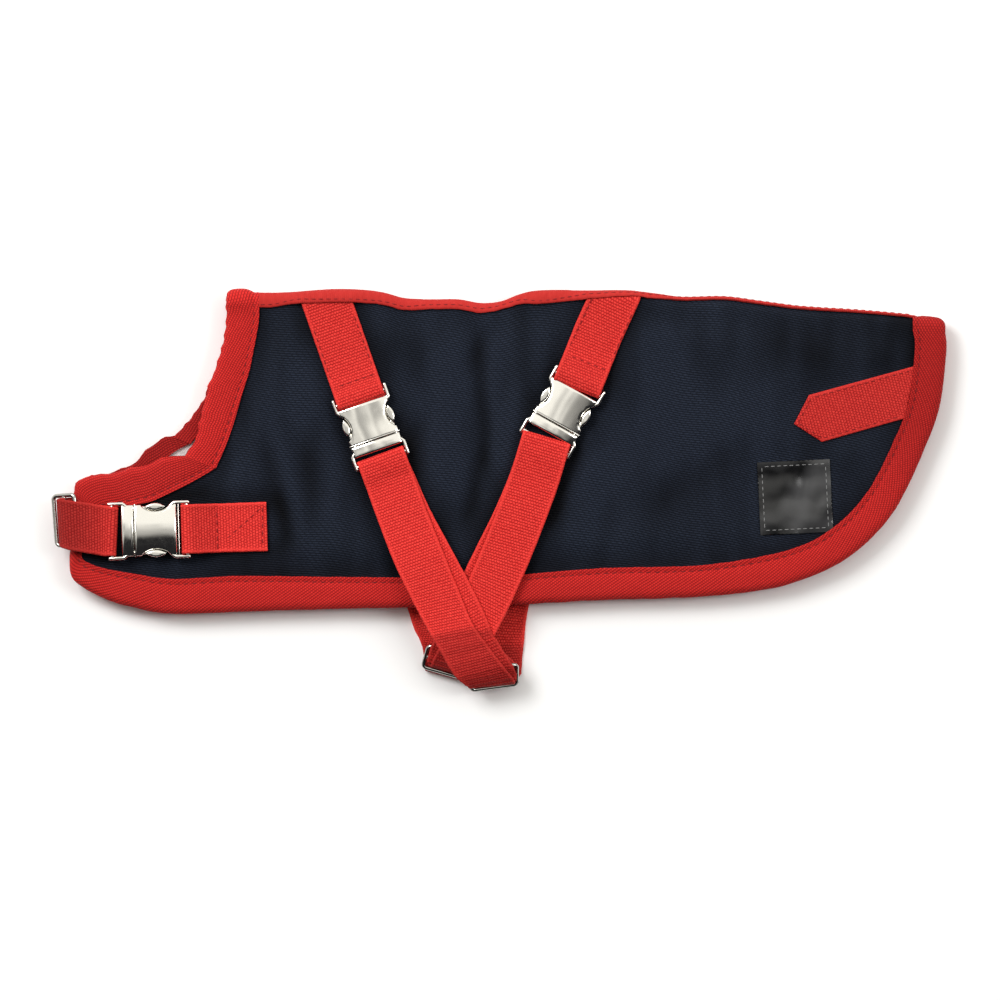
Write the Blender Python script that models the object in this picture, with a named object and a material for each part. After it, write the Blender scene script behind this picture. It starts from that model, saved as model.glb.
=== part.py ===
"""Dog coat folded along its spine, lying flat on its far side.

+X runs to the tail, +Y to the spine and +Z up from the surface it lies on. The coat is laid out
flat first: a point has x, y and a height from the middle of the fold. drape() then bends whatever
reaches past the spine over the fold. The source is in millimetres, and the meshes are in metres.
"""

import math
from typing import NamedTuple

import bmesh
import bpy
from mathutils import Vector

MM = 0.001
GAP = 0.3

# Cloth and tape
SHELL = 1.0
TAPE = 1.0
TAPE_WIDTH = 32.0
LINING = 1.0
WEB_WIDTH = 23.8
WEB = 1.6
WEB_ROUND = 0.5
INNER_LEG_SHARE = 0.7

# Heights from the middle of the fold, outward
LEG_IN = 0.4
LINING_IN = LEG_IN + TAPE + GAP
SHELL_IN = LINING_IN + LINING + GAP
TAPE_IN = SHELL_IN + SHELL + GAP
TAPE_OUT = TAPE_IN + TAPE
FAR_STRAP_SPACE = WEB + GAP
MIDDLE = TAPE_OUT + FAR_STRAP_SPACE
FOLD_RADIUS = 3.6
QUARTER = FOLD_RADIUS * math.pi / 2
SPINE_SEAM = QUARTER - 0.6
BEND_ROWS = (0.0, QUARTER / 3, QUARTER * 2 / 3)
SHELL_ROWS = BEND_ROWS + (-14.0, -28.0, -43.0, -58.0, -73.0, -88.0, -104.0, -120.0, -135.0)
FLAT_ROWS = BEND_ROWS + (-60.0,)
PANEL_INSET = 2.4

# Heights of the webbing from the surface under the coat
SEWN_WEB = MIDDLE + SHELL_IN + SHELL + GAP + WEB / 2
FIRST_WEB = MIDDLE + TAPE_OUT + GAP + WEB / 2
SECOND_WEB = FIRST_WEB + WEB + GAP
FAR_WEB = WEB / 2
LAYER_STEP = WEB + GAP + 0.25

# Mesh spacing
COLUMN = 15.0
EDGE_STEP = 11.0
WEB_STEP = 12.0

# Metal
EAR_SPAN = 28.4
EAR = 1.7
BAR = 2.0
BAR_OFFSET = 16.2
EAR_END = 18.0
BODY_HEIGHT = 5.8
BODY_BACK = -12.4
SEAM = 6.4
PLATE_END = 12.2
BODY_WIDTH = 27.0
WINDOW_LENGTH = 13.5
WINDOW_DEPTH = 4.6
WIRE = 1.8
SLIDER_LENGTH = 27.0
SLIDER_CORNER = 1.9
SQUEEZED_WEB = 22.4
SLIDER_PITCH = 5.9

COLLECTION = "dog_coat"


class BoundEdge(NamedTuple):
    """A section of bound edge: its outer fold, and the inner line where the tape ends."""

    place: str
    outer_x: float
    outer_y: float
    inner_x: float
    inner_y: float


class Crest(NamedTuple):
    """The spine as seen from above: its height, and how far down the spine tape shows."""

    x: float
    y: float
    tape: float


class Fold(NamedTuple):
    """A soft ridge in the near shell, from its middle, with its slant in degrees."""

    place: str
    x: float
    y: float
    slant: float
    length: float
    width: float
    height: float


class Station(NamedTuple):
    """A point on a strap's route."""

    x: float
    y: float
    z: float


HEM = (
    BoundEdge("notch", -157.5, 17.0, -141.5, 11.0),
    BoundEdge("chest bump", -164.5, 17.2, -153.5, 4.0),
    BoundEdge("chest top", -173.5, 14.2, -166.5, -2.4),
    BoundEdge("chest dip", -180.0, 11.5, -175.0, -6.0),
    BoundEdge("chest front", -188.5, 10.0, -183.0, -7.5),
    BoundEdge("tip shoulder", -197.1, 8.2, -190.5, -8.5),
    BoundEdge("tip top", -206.0, 6.8, -197.5, -9.5),
    BoundEdge("tip upper corner", -211.8, 3.2, -202.5, -11.0),
    BoundEdge("tip upper", -213.2, -6.0, -204.0, -14.0),
    BoundEdge("tip", -212.5, -19.0, -204.0, -20.0),
    BoundEdge("tip lower", -215.0, -33.0, -207.5, -28.5),
    BoundEdge("tip lower corner", -213.8, -43.5, -208.5, -34.0),
    BoundEdge("chest heel", -207.5, -49.2, -203.0, -37.5),
    BoundEdge("chest under", -196.0, -55.0, -192.5, -40.2),
    BoundEdge("belly front", -182.5, -59.0, -180.5, -42.2),
    BoundEdge("belly", -163.5, -62.0, -162.5, -44.5),
    BoundEdge("hem front", -129.5, -61.0, -129.5, -43.0),
    BoundEdge("hem straight", -79.5, -59.5, -79.5, -43.5),
    BoundEdge("hem middle", -9.5, -58.2, -9.5, -43.5),
    BoundEdge("hem rising", 50.5, -55.2, 50.0, -39.2),
    BoundEdge("hem rear", 100.5, -53.5, 99.0, -37.8),
    BoundEdge("flank", 135.5, -49.5, 132.5, -33.0),
    BoundEdge("flank turn", 157.0, -43.0, 152.0, -27.5),
    BoundEdge("flank rise", 173.0, -35.0, 164.0, -21.0),
    BoundEdge("tail lower", 187.5, -23.0, 175.5, -11.5),
    BoundEdge("tail curve", 200.0, -7.0, 186.5, 2.5),
    BoundEdge("tail rise", 211.5, 17.0, 197.0, 23.5),
    BoundEdge("tail upper", 220.5, 41.5, 204.8, 44.0),
    BoundEdge("tail", 224.0, 70.0, 208.0, 70.5),
    BoundEdge("tail top", 223.5, 78.5, 207.0, 79.5),
)

NECK = (
    BoundEdge("notch", -157.5, 17.0, -141.5, 11.0),
    BoundEdge("neck foot", -152.5, 24.5, -137.5, 20.0),
    BoundEdge("neck bend", -150.0, 33.0, -134.0, 29.5),
    BoundEdge("neck lower", -148.2, 41.0, -131.0, 39.0),
    BoundEdge("neck low", -146.0, 50.0, -128.0, 49.5),
    BoundEdge("neck middle", -142.5, 60.0, -125.0, 59.0),
    BoundEdge("neck high", -139.5, 69.0, -123.0, 68.5),
    BoundEdge("neck upper", -137.5, 77.5, -121.2, 78.0),
    BoundEdge("neck hollow", -136.6, 86.0, -120.0, 86.0),
)

CREST = (
    Crest(-137.5, 98.9, 7.5),
    Crest(-128.5, 99.2, 7.5),
    Crest(-115.0, 98.8, 7.5),
    Crest(-103.5, 99.0, 6.0),
    Crest(-91.5, 100.0, 6.4),
    Crest(-80.5, 100.6, 6.7),
    Crest(-66.0, 100.0, 6.5),
    Crest(-57.0, 98.6, 6.2),
    Crest(-47.5, 96.0, 6.0),
    Crest(-35.0, 95.4, 5.0),
    Crest(-20.0, 95.4, 5.0),
    Crest(-9.5, 93.6, 5.0),
    Crest(0.5, 94.2, 4.0),
    Crest(10.5, 98.0, 5.0),
    Crest(20.5, 99.9, 6.8),
    Crest(45.5, 99.8, 4.3),
    Crest(65.5, 99.8, 3.2),
    Crest(80.5, 98.0, 2.0),
    Crest(92.0, 96.6, 1.2),
    Crest(113.0, 96.8, 1.0),
    Crest(130.5, 94.6, 1.0),
    Crest(150.5, 92.0, 0.8),
    Crest(180.5, 90.0, 0.6),
    Crest(203.0, 88.0, 0.5),
    Crest(224.5, 85.5, 0.5),
)

FOLDS = (
    Fold("between the straps, front", -38.0, 30.0, 84.0, 90.0, 7.0, 1.3),
    Fold("between the straps, middle", -12.0, 40.0, 93.0, 80.0, 9.0, 1.7),
    Fold("between the straps, rear", 12.0, 45.0, 75.0, 70.0, 6.0, 1.1),
    Fold("behind the neck", -105.0, 10.0, 70.0, 80.0, 14.0, 1.2),
    Fold("under strap B", 30.0, -15.0, 60.0, 60.0, 12.0, 1.2),
    Fold("rear flank", 105.0, 30.0, 25.0, 110.0, 18.0, 1.4),
)

# The far neck corner lies a little up and forward of the near one.
FAR_SHIFT = (-6.0, 10.0)
FAR_SHIFT_FROM = (-157.5, 17.0)
FAR_SHIFT_REACH = 22.5
FAR_INSET = 0.03

# Belly strap A starts at the front and comes down to the rear; B starts at the rear.
ANCHOR_A = (-85.6, 94.0)
BUCKLE_A = (-64.2, 31.4)
ANCHOR_B = (57.6, 93.5)
BUCKLE_B = (30.4, 33.6)
ROUTE_A = (
    Station(-54.4, 4.0, SECOND_WEB - 0.2),
    Station(-47.5, -15.0, SECOND_WEB + 1.3),
    Station(-39.5, -35.0, SECOND_WEB + 3.6),
    Station(-31.0, -55.0, SECOND_WEB + 4.4),
    Station(-23.2, -70.5, SECOND_WEB + 4.6),
    Station(-16.5, -80.0, SECOND_WEB + 4.2),
)
ROUTE_B = (
    Station(17.3, 4.0, SECOND_WEB - 0.2),
    Station(10.3, -15.0, SECOND_WEB + 0.3),
    Station(2.3, -35.0, SECOND_WEB + 0.3),
    Station(-6.0, -55.0, SECOND_WEB + 0.3),
    Station(-9.3, -61.5, SECOND_WEB + 0.3),
    Station(-14.6, -71.0, SECOND_WEB - 1.6),
)
FAR_ROUTE_A = (
    Station(0.2, -93.4, 3.0),
    Station(0.3, -89.0, FAR_WEB),
    Station(0.5, -80.0, FAR_WEB),
    Station(2.5, -57.5, FAR_WEB),
    Station(13.0, -20.0, FAR_WEB),
    Station(32.0, 30.0, FAR_WEB),
    Station(55.5, 92.0, FAR_WEB),
)
FAR_ROUTE_B = (
    Station(-27.5, -75.0, FAR_WEB),
    Station(-32.0, -57.5, FAR_WEB),
    Station(-44.0, -20.0, FAR_WEB),
    Station(-60.0, 30.0, FAR_WEB),
    Station(-83.0, 92.0, FAR_WEB),
)

CHEST_ANCHOR_END = (-116.0, -18.3)
CHEST_BUCKLE = (-172.6, -20.3)
CHEST_SLIDER = (-223.0, -15.5)
CHEST_FAR_END = (-117.0, -19.0)
ROUTE_CHEST = (
    Station(-199.5, -20.4, SECOND_WEB + 0.4),
    Station(-205.5, -19.4, SECOND_WEB + 0.8),
)
FAR_ROUTE_CHEST = (
    Station(-217.6, -16.2, 4.0),
    Station(-213.0, -16.6, FAR_WEB),
    Station(-203.0, -17.2, FAR_WEB),
    Station(-160.0, -19.0, FAR_WEB),
    Station(*CHEST_FAR_END, FAR_WEB),
)

# How far the two layers of a belly strap meet its slider beside the middle
SKEW_A = (-4.0, -6.0)
SKEW_B = (3.0, 4.5)


class Slider(NamedTuple):
    """A three-bar slider: the middle of its outermost bar, along the bars, and across them."""

    place: str
    bar: Vector
    along: Vector
    across: Vector


def slider(place, bar, along, across):
    """A slider whose across is made square to its bars."""
    along = Vector(along).normalized()
    across = Vector(across)
    across = (across - along * across.dot(along)).normalized()
    return Slider(place, Vector(bar), along, across)


SLIDER_A = slider("a", (0.1, -98.9, 9.8), (0.985, 0.08, -0.06), (0.0, 0.88, 0.42))
SLIDER_B = slider("b", (-26.2, -92.0, 4.75), (0.955, -0.27, 0.03), (-0.06, 0.9, 0.27))
SLIDER_CHEST = slider("chest", (-222.4, -15.5, 11.5), (0.075, 1.0, 0.0), (0.89, -0.07, 0.4))


def smooth(t):
    """Ease from 0 to 1."""
    t = min(max(t, 0.0), 1.0)
    return t * t * (3 - 2 * t)


def hermite(a, b, slope_a, slope_b, t):
    """Cubic between a and b with the slopes given per unit of t."""
    t2 = t * t
    t3 = t2 * t
    from_a = a * (2 * t3 - 3 * t2 + 1) + slope_a * (t3 - 2 * t2 + t)
    return from_a + b * (3 * t2 - 2 * t3) + slope_b * (t3 - t2)


def spine(x, column):
    """A column of the crest table at x."""
    rows = CREST
    x = min(max(x, rows[0].x), rows[-1].x)
    at = next(i for i in range(1, len(rows)) if x <= rows[i].x)
    before, after = rows[max(at - 2, 0)], rows[min(at + 1, len(rows) - 1)]
    a, b = rows[at - 1], rows[at]
    span = b.x - a.x
    slope_a = (getattr(b, column) - getattr(before, column)) / (b.x - before.x) * span
    slope_b = (getattr(after, column) - getattr(a, column)) / (after.x - a.x) * span
    return hermite(getattr(a, column), getattr(b, column), slope_a, slope_b, (x - a.x) / span)


def bend_line(x):
    """Where the flat coat starts to bend over the spine."""
    return spine(x, "y") - TAPE_OUT


def tape_edge(x):
    """How far past the bend line the near edge of the spine tape lies."""
    seen = spine(x, "tape")
    if seen >= TAPE_OUT:
        return TAPE_OUT - seen
    return FOLD_RADIUS * math.asin((TAPE_OUT - seen) / TAPE_OUT)


def drape(x, past, height, side):
    """A point at x that lies past the bend line, at a height from the middle of the fold."""
    base = bend_line(x)
    if past <= 0:
        return Vector((x, base + past, MIDDLE + side * height))
    if past < 2 * QUARTER:
        angle = past / FOLD_RADIUS
        return Vector((x, base + height * math.sin(angle), MIDDLE + side * height * math.cos(angle)))
    return Vector((x, base - (past - 2 * QUARTER), MIDDLE - side * height))


def flat(x, y):
    """How far a flat point lies past the bend line."""
    return y - bend_line(x)


def far_edge(row):
    """The same section of the far half, where it lies."""
    out_x = row.outer_x + (row.inner_x - row.outer_x) * FAR_INSET
    out_y = row.outer_y + (row.inner_y - row.outer_y) * FAR_INSET
    away = math.hypot(row.outer_x - FAR_SHIFT_FROM[0], row.outer_y - FAR_SHIFT_FROM[1])
    share = math.exp(-((away / FAR_SHIFT_REACH) ** 2))
    dx, dy = FAR_SHIFT[0] * share, FAR_SHIFT[1] * share
    return BoundEdge(row.place, out_x + dx, out_y + dy, row.inner_x + dx, row.inner_y + dy)


def edge_rows(table, side):
    """The table for one side, carried on to the crest of the spine."""
    rows = list(table) if side > 0 else [far_edge(row) for row in table]
    last = rows[-1]
    for past in (*BEND_ROWS, SPINE_SEAM):
        outer_y = bend_line(last.outer_x) + past
        inner_y = bend_line(last.inner_x) + past
        rows.append(BoundEdge("crest", last.outer_x, outer_y, last.inner_x, inner_y))
    return rows


def dense(rows, step):
    """Points along the rows, outer and inner, through a smooth curve."""
    found = []
    values = [tuple(row[1:]) for row in rows]
    for i in range(len(values) - 1):
        before, a = values[max(i - 1, 0)], values[i]
        b, after = values[i + 1], values[min(i + 2, len(values) - 1)]
        length = math.hypot(b[0] - a[0], b[1] - a[1])
        count = max(1, round(length / step))
        for k in range(count):
            t = k / count
            found.append(
                tuple(
                    hermite(a[j], b[j], (b[j] - before[j]) / 2, (after[j] - a[j]) / 2, t) for j in range(4)
                )
            )
    found.append(values[-1])
    return found


EDGES = {
    (name, side): dense(edge_rows(table, side), EDGE_STEP)
    for name, table in (("hem", HEM), ("neck", NECK))
    for side in (1, -1)
}


def edge_distance(x, y, side):
    """How far a flat point lies from the bound edges of its side."""
    points = EDGES["hem", side] + EDGES["neck", side]
    return min(math.hypot(x - p[0], y - p[1]) for p in points)


def route_distance(x, y, route):
    """How far a flat point lies from a strap's route."""
    best = math.inf
    for a, b in zip(route, route[1:]):
        dx, dy = b[0] - a[0], b[1] - a[1]
        t = ((x - a[0]) * dx + (y - a[1]) * dy) / (dx * dx + dy * dy)
        t = min(max(t, 0.0), 1.0)
        best = min(best, math.hypot(x - a[0] - t * dx, y - a[1] - t * dy))
    return best


NEAR_ROUTES = (
    (ANCHOR_A, BUCKLE_A, *((row.x, row.y) for row in ROUTE_A)),
    (ANCHOR_B, BUCKLE_B, *((row.x, row.y) for row in ROUTE_B)),
    (CHEST_SLIDER, CHEST_ANCHOR_END),
)

def near_strap(x, y):
    """1 under a near strap, 0 well away from them all."""
    away = min(route_distance(x, y, route) for route in NEAR_ROUTES)
    return 1 - smooth((away - EAR_SPAN / 2 - 2) / 8)


TAB_TIP = (147.5, 33.0)
TAB_UPPER = (155.0, 47.5)
TAB_LOWER = (161.5, 24.0)
TAB_END_UPPER = (206.0, 61.5)
TAB_END_LOWER = (200.6, 35.0)
TAB_ROUTE = ((158.0, 35.8), (206.0, 48.5))


def tab_share(x, y):
    """1 under the tail tab, 0 well away from it."""
    away = route_distance(x, y, TAB_ROUTE)
    return 1 - smooth((away - WEB_WIDTH / 2 - 2.5) / 10)


def inside_share(x, y):
    """0 near the bound edges and the spine of the near half, 1 in its open cloth."""
    return smooth((edge_distance(x, y, 1) - 24) / 14) * smooth((-flat(x, y) - 6) / 14)


def relief(x, y):
    """The near shell's soft folds, flat under the straps, the label and the tab."""
    total = 0.0
    for fold in FOLDS:
        slant = math.radians(fold.slant)
        dx, dy = x - fold.x, y - fold.y
        along = dx * math.cos(slant) + dy * math.sin(slant)
        across = dy * math.cos(slant) - dx * math.sin(slant)
        end = 1 - smooth((abs(along) - fold.length * 0.25) / (fold.length * 0.25))
        total += fold.height * end * math.exp(-((across / fold.width) ** 2))
    clear = (1 - label_share(x, y)) * (1 - tab_share(x, y)) * (1 - near_strap(x, y))
    return total * clear * inside_share(x, y)


LABEL_CENTRE = (146.6, -2.3)
LABEL_SIZE = 35.4
LABEL_TURN = 3.4
LABEL = 1.0


def label_share(x, y):
    """1 under the label, 0 well away from it."""
    away = math.hypot(x - LABEL_CENTRE[0], y - LABEL_CENTRE[1])
    return 1 - smooth((away - LABEL_SIZE * 0.7) / 10)


def shell_inner(x, y, side):
    """Height of the shell's inner face."""
    return SHELL_IN + (relief(x, y) if side > 0 else 0.0)


def shell_outer(x, y, side):
    """Height of the shell's outer face."""
    return shell_inner(x, y, side) + SHELL


def lining_inner(x, y, side):
    """Height of the lining's inner face."""
    return LINING_IN


def lining_outer(x, y, side):
    """Height of the lining's outer face."""
    return LINING_IN + LINING


def collection(name):
    """A collection of the scene, made once."""
    found = bpy.data.collections.get(name)
    if found is None:
        found = bpy.data.collections.new(name)
        bpy.context.scene.collection.children.link(found)
    return found


def material(name, color, roughness, metallic=0.0):
    """A Principled material."""
    made = bpy.data.materials.get(name)
    if made is None:
        made = bpy.data.materials.new(name)
        made.use_nodes = True
        shader = made.node_tree.nodes["Principled BSDF"]
        shader.inputs["Base Color"].default_value = (*color, 1.0)
        shader.inputs["Roughness"].default_value = roughness
        shader.inputs["Metallic"].default_value = metallic
    return made


def finish(mesh, name, look):
    """Turn a bmesh in millimetres into an object of the part."""
    bmesh.ops.recalc_face_normals(mesh, faces=mesh.faces)
    if mesh.calc_volume(signed=True) < 0:
        bmesh.ops.reverse_faces(mesh, faces=mesh.faces)
    bmesh.ops.scale(mesh, vec=(MM, MM, MM), verts=mesh.verts)
    data = bpy.data.meshes.new(name)
    mesh.to_mesh(data)
    mesh.free()
    made = bpy.data.objects.new(name, data)
    data.materials.append(look)
    collection(COLLECTION).objects.link(made)
    return made


def lines_between(low, high, step):
    """The shared grid lines between two values."""
    first = math.floor(low / step) + 1
    last = math.ceil(high / step) - 1
    return [step * k for k in range(first, last + 1)]


def sheet(name, outline, side, inner, outer, look, column=COLUMN, rows=()):
    """A cloth panel: a flat outline in x and past, gridded, thickened and draped."""
    mesh = bmesh.new()
    mesh.faces.new([mesh.verts.new((x, past, 0)) for x, past in outline])
    for x in lines_between(min(x for x, _ in outline), max(x for x, _ in outline), column):
        cut(mesh, (x, 0, 0), (1, 0, 0))
    for past in rows:
        cut(mesh, (0, past, 0), (0, 1, 0))
    bmesh.ops.triangulate(mesh, faces=mesh.faces)
    made = bmesh.ops.extrude_face_region(mesh, geom=mesh.faces[:])["geom"]
    upper = {v for v in made if isinstance(v, bmesh.types.BMVert)}
    for v in mesh.verts:
        x, past = v.co.x, v.co.y
        y = bend_line(x) + past
        height = outer if v in upper else inner
        v.co = drape(x, past, height(x, y, side), side)
    return finish(mesh, name, look)


def cut(mesh, point, normal):
    """Cut every face of a flat mesh along a line."""
    geometry = mesh.verts[:] + mesh.edges[:] + mesh.faces[:]
    bmesh.ops.bisect_plane(mesh, geom=geometry, dist=0.0001, plane_co=point, plane_no=normal)


def panel_outline(side):
    """The panel's edge inside the binding's fold, in x and past, up to the seam on the crest."""
    parts = []
    for name in ("hem", "neck"):
        part = []
        for out_x, out_y, in_x, in_y in EDGES[name, side]:
            share = PANEL_INSET / math.hypot(in_x - out_x, in_y - out_y)
            x, y = out_x + (in_x - out_x) * share, out_y + (in_y - out_y) * share
            part.append((x, min(flat(x, y), SPINE_SEAM)))
        parts.append(part)
    hem, neck = parts
    seam = lines_between(neck[-1][0], hem[-1][0], COLUMN)
    return hem + [(x, SPINE_SEAM) for x in seam[::-1]] + neck[:0:-1]


def mitre_gap(row):
    """A small step square to the mitre line."""
    dx, dy = row[2] - row[0], row[3] - row[1]
    length = math.hypot(dx, dy)
    return -dy / length * GAP / 2, dx / length * GAP / 2


def u_section(reach):
    """The folded tape's section: inward from the edge and height, outside and inside."""
    inner_reach = reach * INNER_LEG_SHARE
    outside = (
        (reach, TAPE_OUT),
        (2.2, TAPE_OUT),
        (0.5, TAPE_OUT - 0.8),
        (0.0, TAPE_OUT - 2.2),
        (0.0, LEG_IN + 1.2),
        (1.2, LEG_IN),
        (inner_reach, LEG_IN),
    )
    inside = (
        (reach, TAPE_IN),
        (2.2, TAPE_IN),
        (1.3, TAPE_IN - 0.5),
        (1.0, TAPE_IN - 1.3),
        (1.0, LEG_IN + TAPE + 0.7),
        (1.6, LEG_IN + TAPE),
        (inner_reach, LEG_IN + TAPE),
    )
    return outside, inside


def ribbon(name, rings, look):
    """A closed strip of tape from sections, each a row outside and a row inside it."""
    mesh = bmesh.new()
    made = [[[mesh.verts.new(p) for p in row] for row in ring] for ring in rings]
    for (outer_a, inner_a), (outer_b, inner_b) in zip(made, made[1:]):
        for k in range(len(outer_a) - 1):
            mesh.faces.new((outer_a[k], outer_a[k + 1], outer_b[k + 1], outer_b[k]))
            mesh.faces.new((inner_a[k + 1], inner_a[k], inner_b[k], inner_b[k + 1]))
        for k in (0, -1):
            mesh.faces.new((outer_a[k], inner_a[k], inner_b[k], outer_b[k]))
    for outer, inner in (made[0], made[-1]):
        for k in range(len(outer) - 1):
            mesh.faces.new((outer[k], outer[k + 1], inner[k + 1], inner[k]))
    bmesh.ops.triangulate(mesh, faces=mesh.faces)
    return finish(mesh, name, look)


def binding(name, table, side, look):
    """Tape folded round the edge: a U section carried along the edge."""
    rows = list(EDGES[table, side])
    step_x, step_y = mitre_gap(rows[0])
    sign = -1 if table == "hem" else 1
    moved = (sign * step_x, sign * step_y) * 2
    rows[0] = tuple(value + step for value, step in zip(rows[0], moved))
    rings = []
    for out_x, out_y, in_x, in_y in rows:
        reach = math.hypot(in_x - out_x, in_y - out_y)
        ring = []
        for points in u_section(reach):
            row = []
            for inward, height in points:
                share = inward / reach
                x, y = out_x + (in_x - out_x) * share, out_y + (in_y - out_y) * share
                row.append(drape(x, min(flat(x, y), SPINE_SEAM), height, side))
            ring.append(row)
        rings.append(ring)
    return ribbon(name, rings, look)


def spine_tape(look):
    """The tape over the spine seam, rolled towards the far side."""
    first = EDGES["neck", 1][-1][2] + GAP
    last = EDGES["hem", 1][-1][2] - GAP
    rings = []
    for x in (first, *lines_between(first, last, COLUMN), last):
        start = tape_edge(x)
        turns = [start + (2 * QUARTER - start) * k / 6 for k in range(7)]
        places = (*turns, 2 * QUARTER + 6, start + TAPE_WIDTH)
        rings.append([[drape(x, past, height, 1) for past in places] for height in (TAPE_OUT, TAPE_IN)])
    return ribbon("spine_tape", rings, look)


def loft(mesh, rings):
    """Faces between rings of equal count, with both ends closed."""
    for a, b in zip(rings, rings[1:]):
        for k in range(len(a)):
            n = (k + 1) % len(a)
            mesh.faces.new((a[k], a[n], b[n], b[k]))
    mesh.faces.new(rings[0][::-1])
    mesh.faces.new(rings[-1])
    bmesh.ops.triangulate(mesh, faces=mesh.faces)


def web_shape(width):
    """A web section: across, out."""
    half, thick = width / 2, WEB / 2
    return (
        (-half, -thick + WEB_ROUND),
        (-half + WEB_ROUND, -thick),
        (half - WEB_ROUND, -thick),
        (half, -thick + WEB_ROUND),
        (half, thick - WEB_ROUND),
        (half - WEB_ROUND, thick),
        (-half + WEB_ROUND, thick),
        (-half, thick - WEB_ROUND),
    )


class Step(NamedTuple):
    """A step of a web's path: its middle, the way across it and its width."""

    centre: Vector
    across: Vector
    width: float


def web_rings(path):
    """The web's sections along a path, none of it under the surface it lies on."""
    rings = []
    for i, step in enumerate(path):
        ahead = path[min(i + 1, len(path) - 1)].centre
        behind = path[max(i - 1, 0)].centre
        across = step.across.normalized()
        out = across.cross(ahead - behind).normalized()
        ring = [step.centre + across * a + out * b for a, b in web_shape(step.width)]
        for point in ring:
            point.z = max(point.z, 0.0)
        rings.append(ring)
    return rings


def web(name, rings, look):
    """Webbing lofted through its sections."""
    mesh = bmesh.new()
    loft(mesh, [[mesh.verts.new(p) for p in ring] for ring in rings])
    return finish(mesh, name, look)


def curve_points(points, step):
    """Points every step along a smooth curve through vectors."""
    found = []
    for i in range(len(points) - 1):
        before, a = points[max(i - 1, 0)], points[i]
        b, after = points[i + 1], points[min(i + 2, len(points) - 1)]
        count = max(1, round((b - a).length / step))
        for k in range(count):
            found.append(hermite(a, b, (b - before) / 2, (after - a) / 2, k / count))
    found.append(points[-1])
    return found


def arc(centre, start, turn, radius, first, second, count=6):
    """Points round a bar, in the plane of two directions, from start through turn degrees."""
    points = []
    for k in range(count + 1):
        angle = math.radians(start + turn * k / count)
        points.append(centre + first * (radius * math.cos(angle)) + second * (radius * math.sin(angle)))
    return points


UP = Vector((0, 0, 1))
LOOP = BAR / 2 + GAP + WEB / 2
BELLY_BUCKLE_Z = SEWN_WEB - WEB / 2 + BODY_HEIGHT / 2
CHEST_BUCKLE_Z = FIRST_WEB - WEB / 2 + BODY_HEIGHT / 2


def plan(a, b):
    """The direction from one plan point to another."""
    return Vector((b[0] - a[0], b[1] - a[1], 0)).normalized()


def anchor_rings(start, buckle, height, buckle_height):
    """A web sewn down at its start, then round the buckle's bar and back under."""
    ahead = plan(start, buckle)
    across = ahead.cross(UP)
    bar = Vector((*buckle, buckle_height)) - ahead * BAR_OFFSET
    begin = Vector((*start, height))
    level = bar - begin
    rise = level.dot(ahead)
    over = bar + UP * LOOP
    straight = [
        begin,
        begin + ahead * (rise - 24),
        begin + ahead * (rise - 15) + UP * (WEB + GAP + 0.1),
        over - ahead * 6 - UP * 0.3,
    ]
    route = curve_points(straight, WEB_STEP)
    route += arc(bar, 90, -180, LOOP, ahead, UP)
    route.append(bar - ahead * 5 - UP * LOOP)
    route.append(bar - ahead * 12 - UP * LOOP)
    return web_rings([Step(p, across, WEB_WIDTH) for p in route])


def belly_anchor(name, start, buckle, look):
    """A belly strap's upper end, cut along the spine tape's edge."""
    rings = anchor_rings(start, buckle, SEWN_WEB, BELLY_BUCKLE_Z)
    ahead = plan(start, buckle)
    for point in rings[0]:
        for _ in range(4):
            edge = bend_line(point.x) + tape_edge(point.x) - GAP - 0.1
            point += ahead * ((edge - point.y) / ahead.y)
    return web(name, rings, look)


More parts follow.
